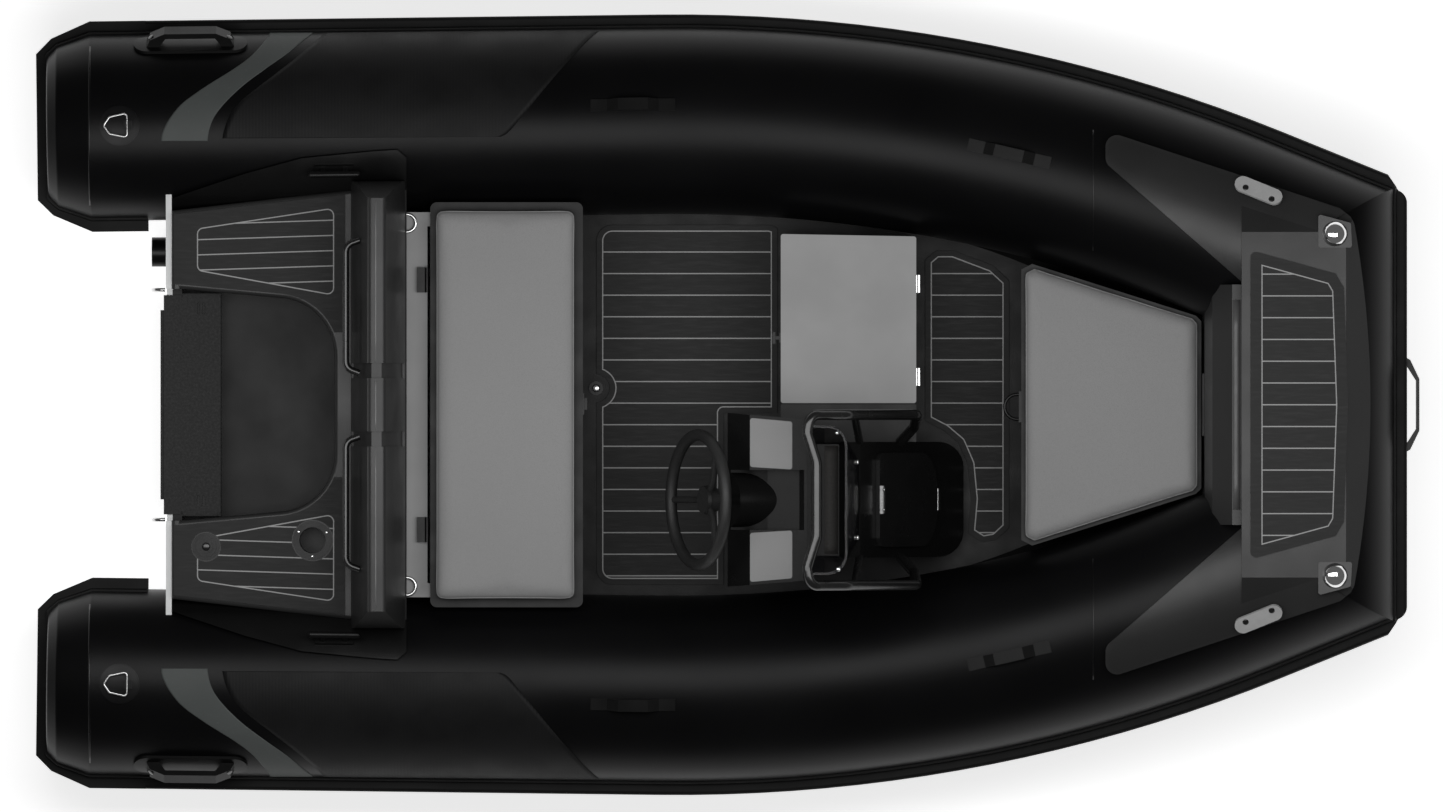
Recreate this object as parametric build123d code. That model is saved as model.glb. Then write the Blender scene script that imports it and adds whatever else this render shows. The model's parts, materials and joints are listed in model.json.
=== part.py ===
from build123d import *
import os
from math import acos, asin, atan2, cos, degrees, radians, sin, sqrt, tan

# Inflatable boat with a rigid hull, console and bench, about 3.3 m long.
# Origin: middle of the length, on the centre plane, at the waterline.
# +X is the bow, +Y is port, +Z is up. Millimetres and degrees.

os.makedirs("parts", exist_ok=True)

# Clearances
seat_gap = 0.3          # between a piece and the curved tube that carries it
lid_gap = 0.5           # between a closed lid and its rim
run_gap = 3.0           # beside pieces that move

# Side tubes: a straight run, one arc in a plane tilted up to the bow, a straight run
tube_r = 227.5
tube_z = 250.0          # height of the tube's middle at the stern
stern_half = 670.2      # from the centre plane to the tube's middle, at the cone
seam_x = -1520.0        # start of the stern cone
bend_x = -150.0         # start of the arc
flare_deg = 0.7         # the straight run opens out towards the bow
sheer_deg = 25.0        # tilt of the arc's plane
bend_r = 3300.0
turn_deg = 25.0
bow_x = 1394.0          # middle of the tube across the bow

# Stern cone
cone_len = 80.0
cone_r = 200.0
cone_round = 24.0
cone_flat_r = 176.0

# Rub rail
rail_out = 26.0
rail_half = 36.0
rail_base_half = 54.0
rail_base_t = 4.0
rail_groove_z = 14.0
rail_groove_w = 6.0
rail_groove_d = 4.0
rail_round = 9.0
rail_corner_r = 34.0    # round of the rail's corners at the bow
rail_tail_x = -1385.0   # inner end of the rail behind the cone

# Hull
hull_aft_x = -1337.0
transom_t = 14.0
floor_z = 58.0          # top of the hull under the floor
deck_t = 12.0
deck_z = floor_z + deck_t
hull_wall = 24.0
hollow_front_x = 1160.0
hull_step = 6.0         # how far the gunwale reaches into the tube's seat
strip_w = 24.0
strip_h = 14.0
# Hull stations: x, keel z, chine y, chine z
hull_stations = (
    (hull_aft_x, -205.0, 440.0, -40.0),
    (-500.0, -205.0, 462.0, -34.0),
    (250.0, -190.0, 440.0, -10.0),
    (750.0, -135.0, 340.0, 40.0),
    (1080.0, -25.0, 190.0, 110.0),
    (1300.0, 125.0, 30.0, 185.0),
)

# Stern moulding
well_z = 195.0          # floor of the motor well
side_deck_z = 415.0
strip_z = 397.0         # flat strip under the backrest's front
aft_deck_x = -1323.0
moulding_front_x = -758.0
deck_round = 10.0
well_half_aft = 279.0
well_taper = 34.0       # the well is this much narrower at its front corners, each side
well_corner_r = 140.0
well_front_x = -931.0
well_front_half = 114.0
transom_top_z = 292.0
transom_front_x = -1207.0
motor_plate_half = 268.0
motor_plate_t = 8.0
motor_plate_round = 14.0
motor_lip_half = 228.0
plate_slot_y = 232.0
plate_slot_w = 7.5
plate_slot_len = 29.0
plate_slot_pitch = 12.5
eye_y = 277.0           # towing eyes, beside the motor plate
eye_z = 210.0
eye_half = 28.0
eye_out = 34.0
eye_rod_r = 4.5
scupper_y = 369.0
scupper_z = 120.0
scupper_r = 35.5
scupper_out = 39.0
scupper_wall = 4.0
flange_t = 9.0
# Side deck's edge and its flange's edge: x, distance inboard of the tube's middle
side_deck_insets = ((aft_deck_x, 205.6), (-890.0, 161.0), (moulding_front_x, 160.5))
flange_insets = ((moulding_front_x, 85.5), (-780.0, 67.0), (-834.0, 69.6), (-1010.0, 84.4),
                 (-1147.0, 119.8), (-1286.0, 164.0), (aft_deck_x, 176.6))
flange_low_z = 300.0
socket_x, socket_y = -984.0, -326.0
socket_bore = 31.6
socket_wall = 4.0
socket_flange = 47.0
socket_depth = 150.0
cap_x, cap_y = -1240.0, -341.0
cap_r = 33.0
cleat_x = -933.0
cleat_len = 112.0
cleat_rod_r = 8.0
cleat_rise = 38.0
cleat_leg_half = 27.0
clamp_plate_x = -1301.0
clamp_plate_aft_x = -1344.0
clamp_plate_low_z = -70.0

# Bench
bench_front_x = -334.0
lid_aft_x = -701.0
lid_half = 487.0
lid_t = 14.0
cushion_t = 44.0
cushion_inset = 12.0
bench_half = 438.0
box_wall = 9.0
bench_rim = 30.0
bench_hinge_z = 410.0
bench_hinge_y = 300.0
bench_hinge_r = 5.0
seat_ring_x = -757.0
seat_ring_y = 437.0
seat_ring_r = 21.0
seat_ring_rod_r = 4.0

# Backrest
back_aft_x = -894.0
back_front_x = -758.5
back_half = 537.0
back_top_z = 690.0
back_ridge_aft_x = -848.0
back_ridge_front_x = -806.0
back_end_slope = 42.0
back_groove_t = 9.0
back_channel_y = 64.0    # grooves beside the middle segment
back_channel_w = 36.0
grab_rod_r = 8.0
grab_out = 26.0
grab_drop = 120.0
grab_y = (76.0, 395.0)

# Floor pads
pad_t = 5.0
pad_line_w = 3.0
pad_line_d = 1.5
pad_border = 13.0       # from a pad's edge to its border line
pad_round = 38.0
floor_pitch = 52.15
floor_line_y = 4.0
stern_pad_border = 26.0
stern_pad_gap = 5.0
stern_pad_front_x = -906.0
stern_plank_pitch = 36.6
stern_plank_deg = 1.84
ring_x, ring_y, ring_r = -304.0, 40.0, 17.0     # floor drain

# Side locker
locker_aft_x = 142.0
locker_front_x = 468.0
locker_port_y = 411.0
locker_stbd_y = 4.0
locker_z = 352.0
locker_lid_t = 16.0
locker_taper = 6.0       # the lid is narrower at the front
hinge_ys = (291.0, 67.0)
hinge_r = 4.5
hinge_half = 21.0
locker_latch_y = 161.0

# Console
console_y = -228.0
head_w = 417.0
body_w = 277.0
head_aft_x = 14.0
body_aft_x = 92.0
body_front_x = 584.0
console_wall = 8.0
console_round = 62.0
head_low_z = 575.0
head_edge_x = 67.0      # from the steep aft face to the flat top
head_top_z = 700.0
head_taper = 16.0       # the head is this much narrower at its front, each side
channel_half = 72.0     # channel in the dash's middle
channel_floor_z = 632.0
boss_r = 65.0
boss_start, boss_end = 81.0, 121.0    # from the wheel's centre, down its axis
door_w, door_h, door_t = 226.0, 340.0, 10.0
wheel_x = -56.0
wheel_z = 652.0
wheel_r = 155.5
wheel_rim_r = 14.0
wheel_tilt = 25.0
screen_t = 6.0
rail_rod_r = 12.5
hoop_half = 204.0
wheel_hub_depth = 45.0
screen_top_z = 905.0

# Bow locker
bow_box_aft_x = 721.0
bow_box_front_x = 1154.0
riser_x = bow_box_front_x + 7.0     # aft face of the riser in front of the bow lid
bow_lid_side = 23.0     # from the lid's side to the tube
bow_lid_bevel = 26.0
bow_lid_z = 345.0
bow_lid_t = 14.0
bow_cushion_t = 28.0

# Foredeck
cover_t = 20.0          # thickness over the tubes
foredeck_aft_x = 1246.0
foredeck_front_x = 1556.0
foredeck_flat_half = 414.0
foredeck_drop = 58.0    # how far the front edge falls
foredeck_bevel_x = 1496.0
flange_step = 9.0       # thickness of the flange under the wings' inner edge
bow_pad_inset = 21.0
dome_x, dome_y, dome_r = 1469.5, 409.7, 30.0
bow_cleat_x, bow_cleat_lean = 1290.0, 22.0
handle_half = 113.0

# Fittings on the tubes
d_ring_x = -1455.0
handle_x, handle_lean = -1276.0, 57.0


# Frames along the port tube

run_dir = Vector(cos(radians(flare_deg)), sin(radians(flare_deg)), 0)
bend_dir = Vector(
    run_dir.Y * cos(radians(sheer_deg)),
    -run_dir.X * cos(radians(sheer_deg)),
    sin(radians(sheer_deg)),
)
side_plane = Plane(
    origin=(seam_x, stern_half, tube_z), x_dir=run_dir, z_dir=run_dir.cross(bend_dir)
)
run_len = (bend_x - seam_x) / run_dir.X
turn = radians(turn_deg)
end_dir = run_dir * cos(turn) + bend_dir * sin(turn)


def side_point(u, v):
    """A point of the tilted plane: u along the straight run, v towards the bend."""
    return side_plane.from_local_coords(Vector(u, v, 0))


arc_end = side_point(run_len + bend_r * sin(turn), bend_r * (1 - cos(turn)))
bow_corner = arc_end + end_dir * ((bow_x - arc_end.X) / end_dir.X)
bow_dir = Vector(0, -1, 0)
mitre = Plane(origin=bow_corner, z_dir=end_dir + bow_dir)


def tube_mid(x):
    """Middle of the port tube, and its direction, at a distance x along the boat."""
    u = (x - seam_x) / run_dir.X
    if u <= run_len:
        return side_point(u, 0), run_dir
    a = asin(min(1, (u - run_len) / bend_r))
    if a >= turn:
        return arc_end + end_dir * ((x - arc_end.X) / end_dir.X), end_dir
    mid = side_point(u, bend_r * (1 - cos(a)))
    return mid, run_dir * cos(a) + bend_dir * sin(a)


def tube_inner(x, z):
    """How far the port tube's inner surface is from the centre plane at a height."""
    mid, _ = tube_mid(x)
    return mid.Y - sqrt(max(0, tube_r**2 - (z - mid.Z) ** 2))


def tube_frame(x, lean_deg=0):
    """Frame on the tube's middle: X forward along it, Z out, leaning outboard."""
    mid, along = tube_mid(x)
    side = Vector(0, 0, 1).cross(along).normalized()
    up = along.cross(side)
    lean = radians(lean_deg)
    return Plane(origin=mid, x_dir=along, z_dir=up * cos(lean) + side * sin(lean)).location


# Small shape helpers

def block(x0, x1, y0, y1, z0, z1):
    """A box between two corners."""
    box = Box(x1 - x0, y1 - y0, z1 - z0)
    return Pos((x0 + x1) / 2, (y0 + y1) / 2, (z0 + z1) / 2) * box


def plate(points, z0, z1, corner=0):
    """A level piece with the given plan outline."""
    face = Polygon(*points, align=None)
    if corner:
        face = fillet(face.vertices(), corner)
    return Pos(0, 0, z0) * extrude(face, z1 - z0, dir=(0, 0, 1))


def both_sides(points):
    """A plan outline given for port from the centre plane outwards, closed to starboard."""
    return list(points) + [(x, -y) for x, y in reversed(points)]


def profile(points, y0, y1, corner=0):
    """A piece with the given outline seen from the side, between two distances from the middle."""
    face = Polygon(*points, align=None)
    if corner:
        face = fillet(face.vertices(), corner)
    return Pos(0, y0, 0) * extrude(Plane.XZ * face, y1 - y0, dir=(0, 1, 0))


def mirrored(shape):
    """The shape and its twin to starboard."""
    return shape + mirror(shape, about=Plane.XZ)


def rod(points, r, corner):
    """A round bar along straight runs joined by arcs."""
    path = FilletPolyline(*points, radius=corner)
    start = Plane(origin=path @ 0, z_dir=path % 0)
    return sweep(start * Circle(r), path=path)


def cylinder_along(start, end, r):
    """A round bar from one point to another."""
    start, end = Vector(*start), Vector(*end)
    along = end - start
    return extrude(Plane(origin=start, z_dir=along) * Circle(r), along.length)


# Tubes

def side_path(extra=0):
    """The port tube's middle line, carried on past the bow corner by extra."""
    a, b = side_point(0, 0), side_point(run_len, 0)
    half = turn / 2
    mid = side_point(run_len + bend_r * sin(half), bend_r * (1 - cos(half)))
    return Line(a, b) + ThreePointArc(b, mid, arc_end) + Line(arc_end, bow_corner + end_dir * extra)


def cone_end(grow=0):
    """The cone behind the seam, with its rounded flat end."""
    face = Plane(origin=side_point(0, 0), x_dir=-run_dir, z_dir=bend_dir.cross(-run_dir).cross(run_dir))
    r, mid, flat = tube_r + grow, cone_r + grow, cone_flat_r + grow
    end = cone_len + cone_round + grow
    outline = Polygon((0, 0), (0, r), (cone_len, mid), (end, flat), (end, 0), align=None)
    outline = fillet(outline.vertices().filter_by(lambda v: v.Y > flat - 1 and v.X > cone_len - 1), cone_round / 2)
    return revolve(face * outline, axis=Axis(side_point(0, 0), -run_dir))


def side_tube(grow=0):
    """The port tube with its cone, cut on the mitre at the bow corner."""
    path = side_path(tube_r + grow)
    start = Plane(origin=side_point(0, 0), z_dir=run_dir)
    run = sweep(start * Circle(tube_r + grow), path=path)
    run = split(run, bisect_by=mitre, keep=Keep.BOTTOM)
    return run + cone_end(grow)


def bow_tube(grow=0):
    """The tube across the bow between the two mitres."""
    r = tube_r + grow
    start = Plane(origin=bow_corner + Vector(0, 2 * r, 0), z_dir=bow_dir)
    run = extrude(start * Circle(r), 2 * bow_corner.Y + 4 * r)
    run = split(run, bisect_by=mitre, keep=Keep.TOP)
    return split(run, bisect_by=mitre_stbd, keep=Keep.TOP)


mitre_stbd = Plane(
    origin=(bow_corner.X, -bow_corner.Y, bow_corner.Z),
    z_dir=(mitre.z_dir.X, -mitre.z_dir.Y, mitre.z_dir.Z),
)

tube_port = side_tube()
tube_stbd = mirror(tube_port, about=Plane.XZ)
tube_bow = bow_tube()
seat_port = side_tube(seat_gap)
seat_stbd = mirror(seat_port, about=Plane.XZ)
seat_bow = bow_tube(seat_gap)


def seated(shape, bow=False, sides=True):
    """The shape with the tubes' seats cut out of it."""
    if sides:
        shape = shape - seat_port - seat_stbd
    return shape - seat_bow if bow else shape


# Rub rails

def rail_section():
    """Rail section: X outboard from the tube's middle, Y up."""
    strip = Rectangle(tube_r, 2 * rail_base_half, align=(Align.MIN, Align.CENTER))
    section = Circle(tube_r + rail_base_t) & Pos(tube_r / 2, 0) * strip
    band = Rectangle(rail_out + tube_r / 2, 2 * rail_half, align=(Align.MIN, Align.CENTER))
    band = fillet(band.vertices().group_by(Axis.X)[-1], rail_round)
    section += Pos(tube_r / 2, 0) * band
    groove = Rectangle(2 * rail_groove_d, rail_groove_w)
    for side in (-1, 1):
        section -= Pos(tube_r + rail_out, side * rail_groove_z) * groove
    return section - Circle(tube_r)


def tail_wrap():
    """The rail round the cone, from the outer side to the inner side of the tube."""
    tail = seam_x - rail_tail_x
    aft = seam_x - 2 * cone_len

    def slab(half):
        return block(aft, rail_tail_x + 2 * rail_out, 0, 2 * stern_half, tube_z - half, tube_z + half)

    def layer(grow):
        straight = extrude(Plane(origin=side_point(0, 0), z_dir=run_dir) * Circle(tube_r + grow), -tail)
        return straight + cone_end(grow)

    base = layer(rail_base_t) & slab(rail_base_half)
    u_end, r = cone_len + cone_round + rail_out, tube_r + rail_out
    outline = [(tail, r), (0, r), (cone_len + rail_out / 2, cone_r + rail_out / 2), (u_end, cone_flat_r)]
    outline += [(u, -v) for u, v in reversed(outline)]
    face = Plane(origin=side_point(0, 0), x_dir=-run_dir, z_dir=(0, 0, -1)) * Polygon(*outline, align=None)
    band = extrude(face, rail_half, both=True) & slab(rail_half)
    return (base + band) - layer(0)


def corner_round():
    """What the round of the port bow corner takes off the rails."""
    out = Vector(0, 0, 1).cross(end_dir).normalized()
    reach = tube_r + rail_out
    ahead = Vector(end_dir.X, end_dir.Y, 0).normalized()
    front_x = bow_corner.X + reach
    start = Vector(bow_corner.X, bow_corner.Y, 0) + out * reach
    tip = start + ahead * ((front_x - start.X) / ahead.X)
    half = acos(-ahead.dot(Vector(0, 1, 0))) / 2
    leg = rail_corner_r / tan(half)
    a, b = tip - ahead * leg, tip - Vector(0, leg, 0)
    middle = b - Vector(rail_corner_r, 0, 0)
    over = tip + Vector(rail_round, rail_round, 0)
    wedge = plate([(p.X, p.Y) for p in (a, over, b)], 0, 2 * bow_corner.Z)
    pin = Pos(middle.X, middle.Y, 0) * Cylinder(rail_corner_r, 4 * bow_corner.Z)
    return wedge - pin


def side_rail():
    """The port rail, from behind the cone to the bow corner."""
    tail = rail_tail_x - seam_x
    start_point = side_point(tail, 0)
    half = turn / 2
    a, b = start_point, side_point(run_len, 0)
    mid = side_point(run_len + bend_r * sin(half), bend_r * (1 - cos(half)))
    path = Line(a, b) + ThreePointArc(b, mid, arc_end)
    path += Line(arc_end, bow_corner + end_dir * tube_r)
    side = Vector(0, 0, 1).cross(run_dir)
    section = Plane(origin=a, x_dir=side, z_dir=run_dir) * rail_section()
    run = split(sweep(section, path=path), bisect_by=mitre, keep=Keep.BOTTOM)
    return run - corner_round() + tail_wrap()


def bow_rail():
    """The rail across the bow."""
    start = Plane(origin=bow_corner + Vector(0, 2 * tube_r, 0), x_dir=(1, 0, 0), z_dir=bow_dir)
    run = extrude(start * rail_section(), 2 * bow_corner.Y + 4 * tube_r)
    run = split(run, bisect_by=mitre, keep=Keep.TOP)
    run = split(run, bisect_by=mitre_stbd, keep=Keep.TOP)
    return run - corner_round() - mirror(corner_round(), about=Plane.XZ)


# Hull

def gunwale(x):
    """Port edge of the hull where it meets the tube's lower inner quarter."""
    mid, _ = tube_mid(x)
    reach = (tube_r - hull_step) * sin(radians(45))
    return mid.Y - reach, mid.Z - reach


def hull_section(x, keel_z, chine_y, chine_z):
    """One station of the hull: keel, chine, gunwale and a flat top."""
    y, z = gunwale(x)
    half = [(0, keel_z), (chine_y, chine_z), (y, z)]
    outline = half + [(-a, b) for a, b in reversed(half[1:])]
    return Plane(origin=(x, 0, 0), x_dir=(0, 1, 0), z_dir=(1, 0, 0)) * Polygon(*outline, align=None)


def inner_section(x, keel_z, chine_y, chine_z):
    """The hollow of the hull at one station, open above the gunwale."""
    y, z = gunwale(x)
    half = [(0, keel_z + 2 * hull_wall), (chine_y - hull_wall, chine_z + hull_wall / 2),
            (y - hull_wall, z + 1), (y - hull_wall, tube_z + tube_r)]
    outline = half + [(-a, b) for a, b in reversed(half[1:])]
    return Plane(origin=(x, 0, 0), x_dir=(0, 1, 0), z_dir=(1, 0, 0)) * Polygon(*outline, align=None)


def hull_hollow():
    """The space inside the hull above the floor's underside."""
    rows = [(max(row[0], aft_deck_x),) + row[1:] for row in hull_stations[:-1]]
    last, stem = hull_stations[-2:]
    share = (hollow_front_x - last[0]) / (stem[0] - last[0])
    rows.append(tuple(a + (b - a) * share for a, b in zip(last, stem)))
    hollow = loft([inner_section(*row) for row in rows], ruled=False)
    return hollow & block(aft_deck_x, hollow_front_x, -stern_half, stern_half, floor_z, tube_z + tube_r)


def hull():
    """The rigid hull, closed under the floor, with its transom."""
    body = loft([hull_section(*row) for row in hull_stations], ruled=False)
    body -= hollow_solid
    half = stern_half - tube_r / 2
    face = Polygon(*[(a, b) for a, b in (
        (-half, 0), (half, 0), (half, side_deck_z - deck_round), (well_half_aft, side_deck_z - deck_round),
        (well_half_aft, transom_top_z), (-well_half_aft, transom_top_z),
        (-well_half_aft, side_deck_z - deck_round), (-half, side_deck_z - deck_round))], align=None)
    board = Plane(origin=(hull_aft_x, 0, 0), x_dir=(0, 1, 0), z_dir=(1, 0, 0)) * face
    body += extrude(board, transom_t, dir=(1, 0, 0))
    return seated(body, bow=True)


def keel_strip():
    """Wear strip under the keel's straight run."""
    aft, fwd = hull_stations[0], hull_stations[1]
    strip = block(aft[0] + transom_t, fwd[0], -strip_w / 2, strip_w / 2, aft[1] - strip_h, aft[1] + 12)
    return strip - hull_solid


def deck_floor():
    """The cockpit floor from transom to bow locker."""
    slab = block(aft_deck_x, hollow_front_x, -stern_half, stern_half, floor_z, deck_z)
    return seated(hollow_solid & slab)


# Stern moulding

def side_deck_edge():
    """Outer edge of the port side deck, at its distance from the tube's middle."""
    return [(x, tube_mid(x)[0].Y - inset) for x, inset in side_deck_insets]


def well_face(grow=0):
    """Plan of the motor well."""
    corner_y = well_half_aft - well_taper
    outline = [(transom_front_x - 93, well_half_aft), (well_front_x, corner_y)]
    face = Polygon(*both_sides(outline), align=None)
    face = fillet(face.vertices().group_by(Axis.X)[-1], well_corner_r)
    return offset(face, grow) if grow else face


def stern_moulding():
    """Side decks, motor well and the bulkhead behind the bench, seated on the tubes."""
    body = plate(both_sides(side_deck_edge()), flange_low_z, side_deck_z)
    body -= Pos(0, 0, well_z) * extrude(well_face(), side_deck_z, dir=(0, 0, 1))
    body = fillet(body.edges().group_by(Axis.Z)[-1], deck_round)
    low = block(aft_deck_x, moulding_front_x, -bench_half, bench_half, deck_z, side_deck_z - 2 * deck_round)
    body += low - Pos(0, 0, well_z) * extrude(well_face(), side_deck_z, dir=(0, 0, 1))
    over_transom = block(aft_deck_x - 1, transom_front_x - 90, -well_half_aft, well_half_aft,
                         transom_top_z, side_deck_z + 1)
    body -= over_transom
    body += block(aft_deck_x, transom_front_x, -motor_plate_half, motor_plate_half, deck_z, transom_top_z)
    body -= Pos(socket_x, socket_y, side_deck_z - socket_depth) * Cylinder(
        socket_bore + socket_wall + 1, 2 * socket_depth, align=(Align.CENTER, Align.CENTER, Align.MIN))
    return seated(body) - motor_plate_solid


def standing(r, z, height, x=0, y=0):
    """An upright cylinder from a height."""
    return Pos(x, y, z) * Cylinder(r, height, align=(Align.CENTER, Align.CENTER, Align.MIN))


def pole_socket():
    """Round socket with a flange, let into the starboard side deck."""
    flange = standing(socket_flange, 0, 4)
    sleeve = standing(socket_bore + socket_wall, 1 - socket_depth, socket_depth)
    bore = standing(socket_bore, 5 - socket_depth, socket_depth)
    return Pos(socket_x, socket_y, side_deck_z) * (flange + sleeve - bore)


def filler_cap():
    """Turned cap with stepped rings on the starboard side deck."""
    body = standing(cap_r, 0, 5) + standing(cap_r - 8, 5, 4) + standing(cap_r / 2, 9, 3)
    return Pos(cap_x, cap_y, side_deck_z) * body


def stern_flanges():
    """Black flanges of the moulding that lie on the tubes beside the side decks."""
    inner = [(x, y + seat_gap) for x, y in side_deck_edge()]
    outline = inner + [(x, tube_mid(x)[0].Y - inset) for x, inset in flange_insets]
    skin = side_tube(flange_t) - seat_port
    return mirrored(skin & plate(outline, tube_z, side_deck_z + tube_r))


def stern_cleats():
    """Horn cleats on the stern flanges, clear of the backrest's ends."""
    axis_r = tube_r + cleat_rise
    mid, _ = tube_mid(cleat_x)
    lean = degrees(asin((back_half + 2 * cleat_rod_r - mid.Y) / axis_r))
    foot_z = tube_r + flange_t
    legs = [standing(cleat_rod_r, foot_z, cleat_rise - flange_t, side * cleat_leg_half) for side in (-1, 1)]
    foot = Pos(0, 0, foot_z + 3) * Box(cleat_len - 20, 3 * cleat_rod_r, 9)
    horn = Pos(0, 0, axis_r) * Rot(0, 90, 0) * Cylinder(cleat_rod_r, cleat_len)
    horn += [Pos(side * cleat_len / 2, 0, axis_r) * Sphere(cleat_rod_r) for side in (-1, 1)]
    one = tube_frame(cleat_x, lean) * (legs[0] + legs[1] + horn + foot)
    return mirrored(one - side_tube(flange_t + seat_gap))


def transom_plate():
    """Motor mounting plates over and behind the transom."""
    top_z = transom_top_z + motor_plate_t
    top = block(clamp_plate_x, transom_front_x, -motor_plate_half, motor_plate_half, transom_top_z, top_z)
    top = fillet(top.edges().filter_by(Axis.Z), motor_plate_round)
    hole = extrude(SlotOverall(plate_slot_len, plate_slot_w, rotation=90), 4 * motor_plate_t, both=True)
    mid_x = (clamp_plate_x + transom_front_x) / 2
    for side in (-1, 1):
        for k in (-0.5, 0.5):
            top -= Pos(mid_x + k * plate_slot_pitch, side * plate_slot_y, top_z) * hole
    half = motor_plate_half - 4
    back = block(clamp_plate_aft_x, hull_aft_x, -half, half, clamp_plate_low_z, top_z)
    bridge = block(hull_aft_x, clamp_plate_x, -half, half, transom_top_z, top_z)
    lip = block(clamp_plate_aft_x - 8, clamp_plate_aft_x, -motor_lip_half, motor_lip_half,
                transom_top_z - 30, top_z - 4)
    return top + back + bridge + lip


def stern_eyes():
    """Two towing eyes on the transom."""
    low, high = eye_z - eye_half, eye_z + eye_half
    path = [(0, 0, low), (-eye_out, 0, low), (-eye_out, 0, high), (0, 0, high)]
    eye = rod(path, eye_rod_r, eye_half * 0.8)
    eye += block(-4, 0, -10, 10, low - 16, high + 16)
    return mirrored(Pos(hull_aft_x, eye_y, 0) * eye)


def scupper_tube():
    """Short drain sleeve through the transom, port of the motor."""
    sleeve = standing(scupper_r, 0, scupper_out) - standing(scupper_r - scupper_wall, 6, scupper_out)
    return Pos(hull_aft_x, scupper_y, scupper_z) * Rot(0, -90, 0) * sleeve


# Backrest and bench

def backrest():
    """Moulded backrest in three segments with a groove each side of the middle one."""
    low = side_deck_z + seat_gap
    side = [(back_aft_x, low), (back_front_x, low),
            (back_ridge_front_x, back_top_z), (back_ridge_aft_x, back_top_z)]
    body = profile(side, -back_half, back_half, 14)
    shoulder = side_deck_z + 60
    front = [(back_half, 0), (back_half, shoulder), (back_half - back_end_slope, back_top_z + 1)]
    front += [(-y, z) for y, z in reversed(front)]
    face = Plane(origin=(back_aft_x - 1, 0, 0), x_dir=(0, 1, 0), z_dir=(1, 0, 0)) * Polygon(*front, align=None)
    body = body & extrude(face, back_front_x - back_aft_x + 2, dir=(1, 0, 0))
    t, foot = back_groove_t, side_deck_z + 24
    groove = [(back_aft_x - 1, foot), (back_aft_x + t, foot), (back_ridge_aft_x + t, back_top_z - t),
              (back_ridge_front_x - t, back_top_z - t), (back_front_x - t, foot), (back_front_x + 20, foot),
              (back_front_x + 20, back_top_z + 20), (back_aft_x - 1, back_top_z + 20)]
    body -= mirrored(profile(groove, back_channel_y, back_channel_y + back_channel_w))
    skin = side_tube(flange_t + seat_gap)
    return body - skin - mirror(skin, about=Plane.XZ)


def backrest_rails():
    """Two grab rails behind the backrest."""
    z = back_top_z - grab_drop
    share = (z - side_deck_z) / (back_top_z - side_deck_z)
    back_x = back_aft_x + (back_ridge_aft_x - back_aft_x) * share
    x = back_x - grab_out - grab_rod_r
    (y0, y1), step = grab_y, 12
    bar = rod([(back_x - 1, y0, z), (x, y0 + step, z), (x, y1 - step, z), (back_x - 1, y1, z)], grab_rod_r, 24)
    return mirrored(bar) - backrest_solid


def bench_box():
    """Hollow locker under the bench, open on top, with the fixed strip behind the lid."""
    x0, x1 = moulding_front_x, bench_front_x - 10
    half = bench_half - box_wall
    outer = block(x0, x1, -bench_half, bench_half, deck_z, strip_z)
    inner = block(x0 + 50, x1 - box_wall, -half, half, deck_z + box_wall, strip_z + 1)
    rim = block(x0, x1, 24 - lid_half, lid_half - 24, strip_z - bench_rim, strip_z)
    return seated(outer + rim - inner)


def bench_lid():
    """Lid board of the bench."""
    board = block(lid_aft_x, bench_front_x, -lid_half, lid_half, strip_z + lid_gap, strip_z + lid_t)
    return fillet(board.edges().filter_by(Axis.Z), 16)


def bench_cushion():
    """Seat cushion on the lid."""
    z, half = strip_z + lid_t, lid_half - cushion_inset
    pad = block(lid_aft_x + cushion_inset / 2, bench_front_x - cushion_inset, -half, half, z, z + cushion_t)
    pad = fillet(pad.edges().filter_by(Axis.Z), 18)
    return fillet(pad.edges().group_by(Axis.Z)[-1], 12)


def bench_hinges():
    """Two hinge knuckles on the strip behind the lid."""
    half = 30
    pin = Pos(lid_aft_x - 8, 0, bench_hinge_z) * Rot(90, 0, 0) * Cylinder(bench_hinge_r, 2 * half)
    leaf = block(lid_aft_x - 32, lid_aft_x - 5, -half, half, strip_z, bench_hinge_z - 2)
    return mirrored(Pos(0, bench_hinge_y, 0) * (pin + leaf))


def bench_latch():
    """Pull latch on the front edge of the bench lid."""
    back = block(bench_front_x, bench_front_x + 3, -24, 28, strip_z - 22, strip_z + lid_t - 2)
    pull = block(bench_front_x + 3, bench_front_x + 10, -12, 16, strip_z - 16, strip_z + 4)
    return back + pull


def seat_rings():
    """Tie rings that lie on the strip in front of the backrest."""
    ring = Pos(seat_ring_x, seat_ring_y, strip_z + seat_ring_rod_r) * Torus(seat_ring_r, seat_ring_rod_r)
    front = block(moulding_front_x, bench_front_x, 0, lid_half, strip_z, side_deck_z)
    return mirrored(ring & front)


# Deck pads

def planks(x0, x1, pitch, first, count):
    """Plan of thin lines along the boat, from a first line to both sides."""
    lines = Sketch()
    for k in range(-count, count + 1):
        lines += Pos((x0 + x1) / 2, first + k * pitch) * Rectangle(x1 - x0, pad_line_w)
    return lines


def deck_pad(face, field, lines, z):
    """A pad on a deck at height z: the field inside its border line has the plank lines."""
    border = field - offset(field, -pad_line_w)
    pad = Pos(0, 0, z) * extrude(face, pad_t, dir=(0, 0, 1))
    cut = extrude(border + (lines & field), 2 * pad_line_d, dir=(0, 0, 1))
    return pad - Pos(0, 0, z + pad_t - pad_line_d) * cut


def rectangle(x0, x1, y0, y1, corner=0):
    """Plan of a rectangle between two corners."""
    face = Pos((x0 + x1) / 2, (y0 + y1) / 2) * Rectangle(x1 - x0, y1 - y0)
    return fillet(face.vertices(), corner) if corner else face


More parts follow.
